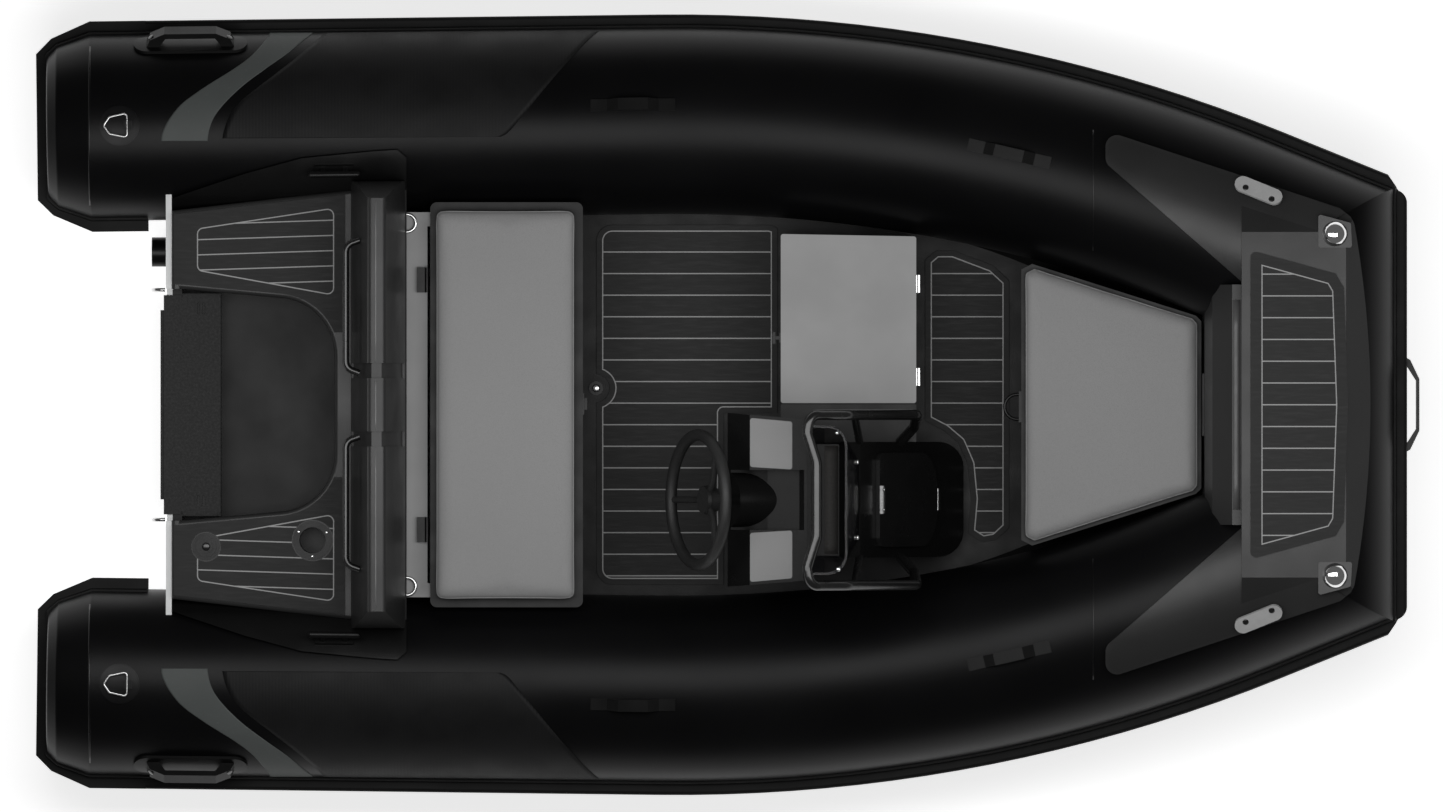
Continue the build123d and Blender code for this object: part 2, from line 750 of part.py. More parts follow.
def floor_pad_aft():
    """Aft floor pad with plank lines along the boat."""
    x0, x1 = bench_front_x + 32, locker_aft_x + 6
    half = lid_half - 53
    face = rectangle(x0, x1, -half, half, pad_round)
    face -= Pos(ring_x, ring_y) * Circle(2 * ring_r)
    face -= rectangle(head_aft_x - 10, x1 + 1, -2 * half, console_y + head_w / 2)
    face -= rectangle(locker_aft_x - 8, x1 + 1, console_y, 2 * half)
    field = offset(face, -pad_border)
    return seated(deck_pad(face, field, planks(x0, x1, floor_pitch, floor_line_y, 9), deck_z))


def floor_pad_forward():
    """Forward floor pad, cut round the console's front."""
    x0, x1 = locker_front_x + 24, bow_box_aft_x - 27
    face = fillet(Polygon(*forward_pad_plan(x0, x1), align=None).vertices(), 8)
    field = offset(face, -pad_border)
    return seated(deck_pad(face, field, planks(x0, x1, floor_pitch, floor_line_y, 8), deck_z))


def forward_pad_plan(x0, x1):
    """Outline of the forward pad, with a bay for the console's rounded front."""
    bay_x, bay_y = body_front_x + 16, body_w / 2
    return [(x0, 350), (x0 + 26, 372), (x0 + 68, 372), (x1 - 39, 336), (x1, 300), (x1, -297),
            (x1 - 31, -326), (bay_x + 30, -332), (bay_x - 4, -310), (bay_x + 3, console_y),
            (bay_x - 5, console_y + bay_y - 54), (bay_x - 27, console_y + bay_y - 3),
            (bay_x - 62, console_y + bay_y + 27), (x0, console_y + bay_y + 51)]


def floor_ring():
    """Flush drain fitting in the floor by the bench."""
    return Pos(ring_x, ring_y, deck_z) * (standing(ring_r, 0, pad_t) - standing(ring_r - 7, 2, pad_t))


def stern_pad():
    """Port pad over the whole side deck, lines converging aft."""
    gap = stern_pad_gap
    edge = [(x, y - deck_round) for x, y in side_deck_edge()]
    face = Polygon(*edge, (moulding_front_x, 0), (aft_deck_x, 0), align=None)
    face = face & rectangle(aft_deck_x + gap, stern_pad_front_x, 0, stern_half)
    face = face - well_face(deck_round)
    face -= rectangle(well_front_x - 1, 0, 0, well_front_half + 60)
    face -= rectangle(aft_deck_x - 1, transom_front_x - 90, 0, well_half_aft + deck_round)
    front_x = stern_pad_front_x - stern_pad_border
    aft_x = aft_deck_x + 2 * stern_pad_border + 9
    outer = [y - 2 * stern_pad_border + 9 for x, y in side_deck_edge()[:2]]
    inner = [well_half_aft + 43, well_half_aft - 17]
    field = Polygon((aft_x, outer[0]), (front_x, outer[1]), (front_x, inner[1]), (aft_x, inner[0]), align=None)
    field = fillet(field.vertices(), 16)
    lines = Sketch()
    for k in range(5):
        y = outer[1] - 30 - k * stern_plank_pitch
        lines += Pos(front_x, y) * Rot(0, 0, stern_plank_deg) * Rectangle(4 * pad_round * 5, pad_line_w)
    return deck_pad(face, field, lines, side_deck_z)


def stern_pad_starboard():
    """Starboard pad, cut round the socket and the cap."""
    pad = mirror(stern_pad(), about=Plane.XZ)
    pad -= standing(socket_flange + 3, side_deck_z - 1, 2 * pad_t, socket_x, socket_y)
    return pad - standing(cap_r + 3, side_deck_z - 1, 2 * pad_t, cap_x, cap_y)


# Side locker

def side_locker():
    """Hollow locker beside the console, open on top."""
    x0, x1, inset = locker_aft_x, locker_front_x, 4
    y0, y1 = console_y + body_w / 2 + seat_gap, locker_port_y - 8
    top_z = locker_z + locker_lid_t
    outer = block(x0 + inset, x1 - inset, y0, y1, deck_z, locker_z)
    wall = inset + box_wall
    inner = block(x0 + wall, x1 - wall, locker_stbd_y + 8, y1 - box_wall, deck_z + box_wall, locker_z + 1)
    top = block(x0, x1, y0, locker_stbd_y - run_gap, locker_z, top_z)
    return seated(outer + top - inner)


def side_locker_lid():
    """Flat lid of the side locker."""
    outline = [(locker_aft_x, locker_stbd_y), (locker_front_x, locker_stbd_y),
               (locker_front_x, locker_port_y - locker_taper), (locker_aft_x, locker_port_y)]
    return plate(outline, locker_z + lid_gap, locker_z + locker_lid_t, 6)


def locker_hinges():
    """Two hinges on the locker's forward edge."""
    pin_x, pin_z, half = locker_front_x + 7, locker_z + locker_lid_t - 5, hinge_half
    pin = Pos(pin_x, 0, pin_z) * Rot(90, 0, 0) * Cylinder(hinge_r, 2 * half)
    leaf = block(locker_front_x - 4, pin_x + 2, -half, half, locker_z - 36, locker_z - 2)
    web = block(pin_x - 3, pin_x + 3, -half, half, locker_z - 10, pin_z)
    one = pin + leaf + web
    return Pos(0, hinge_ys[0], 0) * one + Pos(0, hinge_ys[1], 0) * one


def locker_latch():
    """T handle latch on the locker lid's aft edge."""
    keeper = block(-3, 0, -12, 12, -26, 12)
    stem = block(-14, -3, -4, 4, -2, 8)
    handle = block(-20, -13, -14, 14, -6, 12)
    return Pos(locker_aft_x, locker_latch_y, locker_z) * (keeper + stem + handle)


# Console

slope_low, slope_high = (body_front_x, 110.0), (332.0, 662.0)
brow = (281.0, head_top_z + 4)
head_profile = [(head_aft_x, head_low_z), (head_edge_x, head_top_z), (204.0, head_top_z + 6),
                (204.0, head_low_z + 25), (body_aft_x, head_low_z - 35)]
body_profile = [(body_aft_x, deck_z), (body_front_x, deck_z), slope_low, slope_high, brow,
                (head_edge_x + 60, head_top_z + 4), (body_aft_x, head_top_z - 14)]


def column(half, x0, x1, corner, z0):
    """An upright column with rounded front corners, on the console's middle."""
    face = rectangle(x0, x1, -half, half)
    face = fillet(face.vertices().group_by(Axis.X)[-1], corner)
    return Pos(0, console_y, z0) * extrude(face, head_top_z, dir=(0, 0, 1))


def channel():
    """The room over the channel in the dash's middle, open to the wheel."""
    side = [(-60, head_low_z), (head_aft_x - 1, head_low_z + 14), (110, channel_floor_z),
            (186, channel_floor_z + 14), (200, head_top_z + 20), (-60, head_top_z + 20)]
    return profile(side, console_y - channel_half, console_y + channel_half)


def console_body():
    """Moulded console: wide dash head on a narrower body with a sloping front."""
    half, w = body_w / 2, console_wall
    body = column(half, body_aft_x, body_front_x, console_round, deck_z)
    body = body & profile(body_profile, console_y - half, console_y + half)
    wide, narrow = head_w / 2, head_w / 2 - head_taper
    head = profile(head_profile, console_y - wide, console_y + wide)
    plan = [(head_aft_x, wide), (head_profile[2][0], narrow)]
    head = head & Pos(0, console_y, 0) * plate(both_sides(plan), 0, 2 * head_top_z)
    hollow = column(half - w, body_aft_x + w, body_front_x - w, console_round - w, deck_z - 1)
    top = channel_floor_z - w
    hollow = hollow & profile([(body_aft_x, deck_z - 1), (body_front_x - w, deck_z - 1),
                               (body_front_x - w, slope_low[1] - 2), (332, top), (body_aft_x, top)],
                              console_y - half, console_y + half)
    return body + head - hollow - channel() - door_cut()


def slope_frame():
    """Frame in the middle of the console's sloping front: X across, Y up the slope, Z out."""
    down = Vector(slope_low[0] - slope_high[0], 0, slope_low[1] - slope_high[1]).normalized()
    out = Vector(-down.Z, 0, down.X)
    share = 0.57
    mid = Vector(slope_low[0] + (slope_high[0] - slope_low[0]) * share, console_y,
                 slope_low[1] + (slope_high[1] - slope_low[1]) * share)
    return Plane(origin=mid, x_dir=(0, 1, 0), z_dir=out).location


def door_cut():
    """Opening in the console's front behind the door."""
    return slope_frame() * Box(door_w - 30, door_h - 30, 4 * console_wall)


def console_door():
    """Door over the opening in the console's front, arched at its lower end."""
    face = Rectangle(door_w, door_h)
    rows = face.vertices().group_by(Axis.Y)
    face = fillet(rows[-1], 22)
    face = fillet(face.vertices().group_by(Axis.Y)[0], 96)
    return slope_frame() * Pos(0, 0, lid_gap) * extrude(face, door_t, dir=(0, 0, 1))


def door_latch():
    """Bright latch at the door's free edge."""
    bar = Box(67, 10, 7, align=(Align.CENTER, Align.CENTER, Align.MIN))
    return slope_frame() * Pos(0, door_h / 2 - 14, lid_gap + door_t) * bar


def door_hinge():
    """Bright hinge below the door."""
    pin = Rot(0, 90, 0) * Cylinder(5, 52)
    leaf = Pos(0, -12, -lid_gap - door_t / 2 + 1.5) * Box(52, 22, 3)
    pair = Pos(0, -door_h / 2 - 8, lid_gap + door_t / 2) * (pin + leaf)
    return slope_frame() * pair


def dash_panels():
    """Two glossy pods on the dash, beside the channel."""
    (x0, z0), (x1, z1) = head_profile[1:3]
    angle = atan2(z1 - z0, x1 - x0)
    frame = Plane(origin=(x0, console_y, z0), x_dir=(cos(angle), 0, sin(angle)),
                  z_dir=(-sin(angle), 0, cos(angle))).location
    inner, outer, length = channel_half + 2, head_w / 2 - 12, 102
    plan = [(1, outer), (length, outer - 9), (length, inner - 1), (1, inner + 5)]
    face = fillet(Polygon(*plan, align=None).vertices(), 6)
    pod = frame * extrude(face, 4, dir=(0, 0, 1)) - console_solid
    return pod + mirror(pod, about=Plane((0, console_y, 0), z_dir=(0, 1, 0)))


def wheel_frame(along=0):
    """Frame on the wheel's axis: Z towards the helmsman, X to port."""
    t = radians(wheel_tilt)
    out = Vector(-cos(t), 0, sin(t))
    mid = Vector(wheel_x, console_y, wheel_z) + out * along
    return Plane(origin=mid, x_dir=(0, 1, 0), z_dir=out).location


def helm_boss():
    """Boss in the dash's channel that carries the wheel's shaft."""
    boss = standing(boss_r, -boss_end - 60, boss_end - boss_start + 60)
    shaft = standing(13, -boss_start, boss_start - wheel_hub_depth)
    return (wheel_frame() * boss & channel()) + wheel_frame() * shaft


def wheel_rim():
    """Rim of the steering wheel."""
    return wheel_frame() * Torus(wheel_r, wheel_rim_r)


def wheel_spokes():
    """Hub and three spokes of the steering wheel."""
    hub = Pos(0, 0, -wheel_hub_depth) * Cone(30, 36, 24, align=(Align.CENTER, Align.CENTER, Align.MIN))
    body = hub + standing(32, 24 - wheel_hub_depth, 10)
    for angle in (90, 90 + 130, 90 - 130):
        spoke = rod([(20, 0, -24), (60, 0, -22), (wheel_r - 8, 0, -2)], 8, 60)
        body += Rot(0, 0, angle) * spoke
    return wheel_frame() * (body - Torus(wheel_r, wheel_rim_r + 0.05))


def screen_ring(z, aft, front, half, inset):
    """One level of the screen: straight sides and a rounded front."""
    face = rectangle(aft, front - inset, console_y - half + inset, console_y + half - inset)
    return Pos(0, 0, z) * fillet(face.vertices().group_by(Axis.X)[-1], 50 - inset)


def windscreen():
    """Wrap-round screen that flares up from the body to the rail."""
    low_z, high_z = slope_high[1] - 6, screen_top_z - 20
    low_half, high_half = body_w / 2 - 10, hoop_half - 2 * rail_rod_r
    outer = loft([screen_ring(low_z, 212, 330, low_half, 0), screen_ring(high_z, 212, 300, high_half, 0)])
    inner = loft([screen_ring(low_z - 1, 211, 330, low_half, screen_t),
                  screen_ring(high_z + 1, 211, 300, high_half, screen_t)])
    return outer - inner - console_solid


def windscreen_rail():
    """Tube rail over and round the screen with four stays down to the console."""
    half, foot = hoop_half, body_w / 2 + seat_gap
    side = [(430, foot, 452), (462, foot + 36, 520), (468, half, 622), (300, half, 838),
            (212, half, screen_top_z), (204, half - 42, screen_top_z), (227, 88, screen_top_z)]
    corners = [24, 30, 60, 26, 30, 50]
    hoop = [(x, -y, z) for x, y, z in side] + list(reversed(side))
    body = rod(hoop, rail_rod_r, corners + corners[::-1])
    for port in (-1, 1):
        top, low = (318, port * (half - 3), 815), (330, port * foot, slope_high[1] - 7)
        body += cylinder_along(top, low, rail_rod_r - 3)
    return Pos(0, console_y, 0) * body - console_solid


# Bow locker

def bow_plan(inset=0):
    """Port half of the bow lid's plan, beside the tube."""
    x0, x1 = bow_box_aft_x + inset, bow_box_front_x - inset
    a, b = x0 + bow_lid_bevel, x1 - bow_lid_bevel / 2
    aft, front = (tube_inner(x, bow_lid_z) - bow_lid_side - inset for x in (a, b))
    return (x0, aft - bow_lid_bevel / 2), (a, aft), (b, front), (x1, front - bow_lid_bevel / 2)


def bow_lid_ring():
    """Lift ring at the lid's aft edge."""
    x, z = bow_box_aft_x, bow_lid_z + 8
    back = block(x - 6, x, -42, 32, z - 8, z + 6)
    ring = Pos(x - 10, -5, z) * Torus(30, 4)
    return back + (ring & block(x - 60, x - 3, -60, 50, z - 10, z + 10))


def bow_hinge():
    """Hinge at the lid's forward edge, on top of the cushion's level."""
    pin_r, half = 3.0, 75
    pin_x, pin_z = riser_x - pin_r - 0.2, bow_lid_z + bow_lid_t + bow_cushion_t + 2
    pin = Pos(pin_x, 0, pin_z) * Rot(90, 0, 0) * Cylinder(pin_r, 2 * half)
    return pin + block(pin_x, riser_x, -half, half, pin_z - 20, pin_z + pin_r)


def bow_step():
    """Moulded riser between the bow locker and the foredeck, lying on the bow tube."""
    ledge_z, low_z = foredeck_top() - 46, bow_lid_z - 60
    side = [(riser_x, low_z), (riser_x, bow_lid_z + 95), (riser_x + 17, bow_lid_z + 180),
            (foredeck_aft_x - 22, ledge_z), (foredeck_aft_x, ledge_z), (foredeck_aft_x, ledge_z - 100),
            (foredeck_aft_x - 16, low_z)]
    half = bow_corner.Y - 76
    return seated(profile(side, -half, half), bow=True) - foredeck_solid


def bow_locker():
    """Hollow locker in the bow, open on top."""
    body = plate(both_sides(bow_plan(10)), deck_z, bow_lid_z)
    body -= plate(both_sides(bow_plan(10 + box_wall)), deck_z - 1, bow_lid_z + 1)
    return seated(body & hollow_solid, bow=True)


def bow_lid():
    """Lid board of the bow locker."""
    return plate(both_sides(bow_plan()), bow_lid_z + lid_gap, bow_lid_z + bow_lid_t)


def bow_cushion():
    """Cushion on the bow lid."""
    z = bow_lid_z + bow_lid_t
    pad = plate(both_sides(bow_plan(3)), z, z + bow_cushion_t)
    return fillet(pad.edges().group_by(Axis.Z)[-1], 8)


# Foredeck

def foredeck_top():
    """Height of the foredeck's flat middle."""
    return bow_corner.Z + tube_r + cover_t


def beside_tube(x, out):
    """A plan point at a distance outboard of the port tube's middle."""
    return x, tube_mid(x)[0].Y + out


def foredeck():
    """Moulded foredeck: a flat middle, two wings on the tubes, and a thin flange inside the wings."""
    top, aft, front = foredeck_top(), foredeck_aft_x, foredeck_front_x
    tip, corner = bow_x - 473, bow_corner.Y
    outer_end = (bow_x + 88, corner + 107)
    shoulder = [outer_end, (bow_x + 114, corner + 86), (bow_x + 127, corner + 60), (front + 40, corner - 20)]
    wing_half = [(aft, corner - 68), beside_tube(tip, 42), beside_tube(tip, 120)] + shoulder
    wing_plan = Polygon(*both_sides(wing_half), align=None)
    wing_plan = fillet(wing_plan.vertices().group_by(Axis.X)[0], 28)
    flange_half = [(aft, corner - 86), (aft - 31, corner - 70), beside_tube(1158, -148),
                   beside_tube(1032, -45), beside_tube(tip, 30), beside_tube(tip + 10, 60), (aft, corner)]
    bow_r = ((corner + 60) ** 2 + 38 ** 2) / 76
    limit = standing(bow_r, tube_z, 2 * tube_r, front - bow_r)
    plan = Pos(0, 0, tube_z) * extrude(wing_plan, top - tube_z, dir=(0, 0, 1))
    cover, skin = side_tube(cover_t) - seat_port, side_tube(flange_step) - seat_port
    wings = mirrored(cover) & plan
    flange = mirrored(skin & plate(flange_half, tube_z, top))
    side = [(aft, top - 90), (aft, top), (foredeck_bevel_x, top), (front, top - foredeck_drop),
            (front, top - 90)]
    half, fall = foredeck_flat_half, 90
    across = [(half + 170, top - fall), (half, top), (-half, top), (-half - 170, top - fall),
              (-half - 170, top - 120), (half + 170, top - 120)]
    face = Plane(origin=(aft - 1, 0, 0), x_dir=(0, 1, 0), z_dir=(1, 0, 0)) * Polygon(*across, align=None)
    slab = profile(side, -half - 170, half + 170) & extrude(face, front - aft + 2, dir=(1, 0, 0)) & plan
    return seated((wings + slab) & limit + flange, bow=True)


def bow_pad():
    """Pad on the foredeck's flat middle."""
    x0, x1 = foredeck_aft_x + bow_pad_inset, foredeck_bevel_x + 5
    outline = both_sides([(x0, bow_corner.Y + 6), (x1 - 30, bow_corner.Y - 50), (x1 - 10, bow_corner.Y - 84),
                          (x1, 0)])
    face = fillet(Polygon(*outline, align=None).vertices().group_by(Axis.X)[0], 14)
    field = offset(face, -2 * pad_border)
    return deck_pad(face, field, planks(x0, x1, floor_pitch, 0, 7), foredeck_top())


def bow_cleats():
    """Low oval cleats on the foredeck's shoulders: a thick plate on a narrower foot."""
    foot = extrude(SlotOverall(96, 24), 14)
    top = Pos(0, 0, 12) * extrude(SlotOverall(121, 40), 9)
    one = tube_frame(bow_cleat_x, bow_cleat_lean) * Pos(0, 0, tube_r + cover_t - 4) * (foot + top)
    return mirrored(one - foredeck_solid)


def bow_domes():
    """Domed fairleads on flat plates in the foredeck's front corners."""
    top = foredeck_top()
    plan = [(-40, 47), (38, 26), (41, -33), (-40, -33)]
    base = Pos(0, 0, -14) * extrude(fillet(Polygon(*plan, align=None).vertices(), 6), 18, dir=(0, 0, 1))
    dome = Pos(0, 0, -6) * Sphere(dome_r + 2) & standing(dome_r + 5, 4, 60)
    return mirrored(Pos(dome_x, dome_y, top) * (base + dome) - foredeck_solid)


def bow_handle():
    """Arched strap handle on the bow rail."""
    x, half = bow_corner.X + tube_r + rail_out, handle_half
    path = [(x + 30, half - 51), (x + 8, half - 5), (x - 1, half)]
    inside = [(x + 22, half - 55), (x - 1, half - 19)]
    outer = [(a, -y) for a, y in reversed(path)] + path
    inner = list(reversed(inside)) + [(a, -y) for a, y in inside]
    band = plate(outer + inner, bow_corner.Z - 17, bow_corner.Z + 17)
    return band - bow_rail_solid


def tube_straps():
    """Strap handles on top of the tubes, two each side."""
    straps = []
    length, width, t, rise = 204.0, 29.0, 4.0, 22.0
    half = length / 2
    for x, lean in ((-213.0, 8.6), (713.0, 1.0)):
        side = [(half, -14), (half, t), (half - 40, t), (half - 66, rise)]
        under = [(half - 70, rise - t), (half - 44, 0), (half - 44, -14)]
        outline = side + [(-a, z) for a, z in reversed(side)]
        outline += [(-a, z) for a, z in reversed(under)] + under
        one = tube_frame(x, lean) * Pos(0, 0, tube_r) * profile(outline, -width / 2, width / 2)
        straps.append(mirrored(one - seat_port))
    return straps[0] + straps[1]


def d_ring_wire():
    """Bent wire of one lifting ring, on the stern's tube frame."""
    z = tube_r + 10
    path = FilletPolyline((26, -29, z), (26, 29, z), (-16, 20, z), (-30, 0, z), (-16, -20, z),
                          radius=7, close=True)
    return sweep(Plane(origin=path @ 0, z_dir=path % 0) * Circle(2.4), path=path)


def d_rings():
    """Lifting rings on the tubes' stern ends."""
    return mirrored(tube_frame(d_ring_x) * d_ring_wire())


def ring_patches():
    """Fabric patches and keepers that hold the lifting rings."""
    patch = Pos(8, 0, tube_r - 6) * Cylinder(48, 24) & (Rot(0, 90, 0) * Cylinder(tube_r + 3, 300))
    keeper = Pos(28, 0, tube_r + 4) * Box(20, 22, 14)
    return mirrored(tube_frame(d_ring_x) * (patch + keeper - d_ring_wire()) - seat_port)


def stern_handles():
    """Moulded lifting handles outboard on the tubes."""
    base = Pos(0, 0, tube_r - 20) * extrude(SlotOverall(274, 64), 60)
    base = base & (Rot(0, 90, 0) * Cylinder(tube_r + 8, 400))
    outer, inner = [(112, -6), (96, 28), (62, 44)], [(60, 30), (84, -6)]
    outline = outer + [(-a, z) for a, z in reversed(outer)]
    outline += [(-a, z) for a, z in reversed(inner)] + inner
    grip = Pos(0, 0, tube_r) * profile(outline, -17, 17, 4)
    return mirrored(tube_frame(handle_x, handle_lean) * (base + grip) - seat_port - rail_solid)


hollow_solid = hull_hollow()
rail_solid = side_rail()
bow_rail_solid = bow_rail()
hull_solid = hull()
motor_plate_solid = transom_plate()
moulding_solid = stern_moulding()
backrest_solid = backrest()
console_solid = console_body()
foredeck_solid = foredeck()

pieces = {
    "tube_port": tube_port,
    "tube_starboard": tube_stbd,
    "tube_bow": tube_bow,
    "rail_port": rail_solid,
    "rail_starboard": mirror(rail_solid, about=Plane.XZ),
    "rail_bow": bow_rail_solid,
    "hull": hull_solid,
    "keel_strip": keel_strip(),
    "deck_floor": deck_floor(),
    "stern_moulding": moulding_solid,
    "stern_flanges": stern_flanges(),
    "stern_cleats": stern_cleats(),
    "transom_plate": motor_plate_solid,
    "stern_eyes": stern_eyes(),
    "scupper_tube": scupper_tube(),
    "pole_socket": pole_socket(),
    "filler_cap": filler_cap(),
    "stern_pad_port": stern_pad(),
    "stern_pad_starboard": stern_pad_starboard(),
    "backrest": backrest_solid,
    "backrest_rails": backrest_rails(),
    "bench_box": bench_box(),
    "bench_lid": bench_lid(),
    "bench_cushion": bench_cushion(),
    "bench_hinges": bench_hinges(),
    "bench_latch": bench_latch(),
    "seat_rings": seat_rings(),
    "floor_pad_aft": floor_pad_aft(),
    "floor_pad_forward": floor_pad_forward(),
    "floor_ring": floor_ring(),
    "side_locker": side_locker(),
    "side_locker_lid": side_locker_lid(),
    "locker_hinges": locker_hinges(),
    "locker_latch": locker_latch(),
    "console_body": console_solid,
    "console_door": console_door(),
    "door_latch": door_latch(),
    "door_hinge": door_hinge(),
    "dash_panels": dash_panels(),
    "helm_boss": helm_boss(),
    "wheel_rim": wheel_rim(),
    "wheel_spokes": wheel_spokes(),
    "windscreen": windscreen(),
    "windscreen_rail": windscreen_rail(),
    "bow_locker": bow_locker(),
    "bow_lid": bow_lid(),
    "bow_cushion": bow_cushion(),
    "bow_lid_ring": bow_lid_ring(),
    "bow_hinge": bow_hinge(),
    "bow_step": bow_step(),
    "foredeck": foredeck_solid,
    "bow_pad": bow_pad(),
    "bow_cleats": bow_cleats(),
    "bow_domes": bow_domes(),
    "bow_handle": bow_handle(),
    "tube_straps": tube_straps(),
    "d_rings": d_rings(),
    "ring_patches": ring_patches(),
    "stern_handles": stern_handles(),
}

for name, shape in pieces.items():
    export_step(shape, f"parts/{name}.step")
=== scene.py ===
import json
import math

import bpy
from mathutils import Matrix, Vector
from mathutils.bvhtree import BVHTree


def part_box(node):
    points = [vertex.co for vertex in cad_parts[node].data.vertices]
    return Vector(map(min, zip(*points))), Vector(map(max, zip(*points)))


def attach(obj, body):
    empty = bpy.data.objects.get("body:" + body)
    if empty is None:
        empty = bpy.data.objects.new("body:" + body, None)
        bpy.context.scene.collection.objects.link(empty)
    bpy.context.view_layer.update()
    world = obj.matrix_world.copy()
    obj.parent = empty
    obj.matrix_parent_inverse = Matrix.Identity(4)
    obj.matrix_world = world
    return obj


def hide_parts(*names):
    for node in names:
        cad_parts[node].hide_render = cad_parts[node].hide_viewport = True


# Looks of the inflatable boat. Metres, +X is the bow, +Y is port, +Z is up, the water is at z 0.

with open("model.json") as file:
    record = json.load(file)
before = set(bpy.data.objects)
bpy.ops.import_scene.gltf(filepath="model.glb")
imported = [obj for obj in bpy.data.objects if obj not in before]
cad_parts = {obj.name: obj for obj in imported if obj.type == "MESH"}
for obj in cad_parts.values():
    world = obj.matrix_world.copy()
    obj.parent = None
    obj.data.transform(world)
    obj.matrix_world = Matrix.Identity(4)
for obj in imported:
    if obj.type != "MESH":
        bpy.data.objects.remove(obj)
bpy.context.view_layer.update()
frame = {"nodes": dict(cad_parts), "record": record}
nodes = frame["nodes"]

# Side tube's straight run, as in the part's source
TUBE_R = 0.2275
TUBE_Z = 0.250
SEAM_X = -1.520
STERN_HALF = 0.6702
FLARE = math.radians(0.7)

# The photograph: a view straight down, without visible perspective
PHOTO_W, PHOTO_H = 1445, 812
METRES_PER_PIXEL = 0.002407
PHOTO_MID_X, PHOTO_MID_Y = 721.75, 404.75
CAMERA_Z = 70.0
REFERENCE_Z = 0.35      # height at which the photograph's scale holds

PATCH_T = 0.0012        # glued patches on the tubes


# Node helpers

def new_material(name):
    """A material with its node tree, its shader and its object coordinates."""
    material = bpy.data.materials.new(name)
    material.use_nodes = True
    tree = material.node_tree
    shader = tree.nodes["Principled BSDF"]
    coords = tree.nodes.new("ShaderNodeTexCoord").outputs["Object"]
    return material, tree, shader, coords


def noise(tree, coords, scale, detail=4.0, stretch=None):
    """Noise of a given scale, 1 over metres, stretched along axes if asked."""
    node = tree.nodes.new("ShaderNodeTexNoise")
    node.inputs["Scale"].default_value = scale
    node.inputs["Detail"].default_value = detail
    if stretch:
        mapping = tree.nodes.new("ShaderNodeMapping")
        mapping.inputs["Scale"].default_value = stretch
        tree.links.new(coords, mapping.inputs["Vector"])
        coords = mapping.outputs["Vector"]
    tree.links.new(coords, node.inputs["Vector"])
    return node.outputs["Fac"]


def remap(tree, value, low, high, start=0.3, end=0.7):
    """A value from start to end, mapped to low and high."""
    node = tree.nodes.new("ShaderNodeMapRange")
    for key, number in (("From Min", start), ("From Max", end), ("To Min", low), ("To Max", high)):
        node.inputs[key].default_value = number
    tree.links.new(value, node.inputs["Value"])
    return node.outputs["Result"]


def math_node(tree, kind, a, b=None):
    """One sum on sockets or numbers."""
    node = tree.nodes.new("ShaderNodeMath")
    node.operation = kind
    for k, value in enumerate((a, b)):
        if value is None:
            continue
        if isinstance(value, (int, float)):
            node.inputs[k].default_value = value
        else:
            tree.links.new(value, node.inputs[k])
    return node.outputs["Value"]


def blend_colours(tree, share, a, b):
    """Colour a where share is 0 and colour b where it is 1."""
    node = tree.nodes.new("ShaderNodeMix")
    node.data_type = "RGBA"
    tree.links.new(share, node.inputs["Factor"])
    for key, value in (("A", a), ("B", b)):
        socket = [s for s in node.inputs if s.name == key and s.type == "RGBA"][0]
        if isinstance(value, tuple):
            socket.default_value = (*value, 1.0)
        else:
            tree.links.new(value, socket)
    return [s for s in node.outputs if s.type == "RGBA"][0]


def shade(colour, factor):
    """A colour times a factor."""
    return tuple(min(1.0, c * factor) for c in colour)


def bump(tree, shader, height, depth, strength=1.0, under=None):
    """Raise the surface by a height texture; depth in metres."""
    node = tree.nodes.new("ShaderNodeBump")
    node.inputs["Strength"].default_value = strength
    node.inputs["Distance"].default_value = depth
    tree.links.new(height, node.inputs["Height"])
    if under is not None:
        tree.links.new(under, node.inputs["Normal"])
    tree.links.new(node.outputs["Normal"], shader.inputs["Normal"])
    return node.outputs["Normal"]


# Turns half a wave's length into the wave node's scale
HALF_WAVE_SCALE = 6.283


def bands(tree, coords, axis, half_wave):
    """A wave texture across one axis."""
    node = tree.nodes.new("ShaderNodeTexWave")
    node.bands_direction = axis
    node.inputs["Scale"].default_value = 1 / (half_wave * HALF_WAVE_SCALE)
    tree.links.new(coords, node.inputs["Vector"])
    return node


def edge_highlight_mask(tree, low=0.52, high=0.6):
    """1 on sharp outer edges, 0 elsewhere: the mask of the painted edge highlight."""
    geometry = tree.nodes.new("ShaderNodeNewGeometry")
    return remap(tree, geometry.outputs["Pointiness"], 0.0, 1.0, low, high)


def surface(name, colour, rough, mottle, grain, wear_patch_and_edge_highlight=0.25, specular=0.4, coat=0.0):
    """A finish with mottled colour, uneven gloss, a fine grain and sharp edges lightened as a painted
    highlight.

    The mottling is (scale, share of the colour) and the grain (scale, depth in metres).
    """
    material, tree, shader, coords = new_material(name)
    patches = noise(tree, coords, mottle[0])
    low, high = shade(colour, 1 - mottle[1]), shade(colour, 1 + mottle[1])
    base = blend_colours(tree, remap(tree, patches, 0.0, 1.0), low, high)
    # Painted highlight: sharp outer edges are lightened
    if wear_patch_and_edge_highlight:
        edge_highlight_share = math_node(tree, "MULTIPLY", edge_highlight_mask(tree), wear_patch_and_edge_highlight)
        base = blend_colours(tree, edge_highlight_share, base, shade(colour, 2.2))
    tree.links.new(base, shader.inputs["Base Color"])
    smears = noise(tree, coords, mottle[0] * 3, 6.0)
    tree.links.new(remap(tree, smears, rough * 0.85, min(1.0, rough * 1.15)), shader.inputs["Roughness"])
    bump(tree, shader, noise(tree, coords, grain[0], 3.0), grain[1])
    shader.inputs["Specular IOR Level"].default_value = specular
    shader.inputs["Coat Weight"].default_value = coat
    shader.inputs["Coat Roughness"].default_value = 0.08
    return material


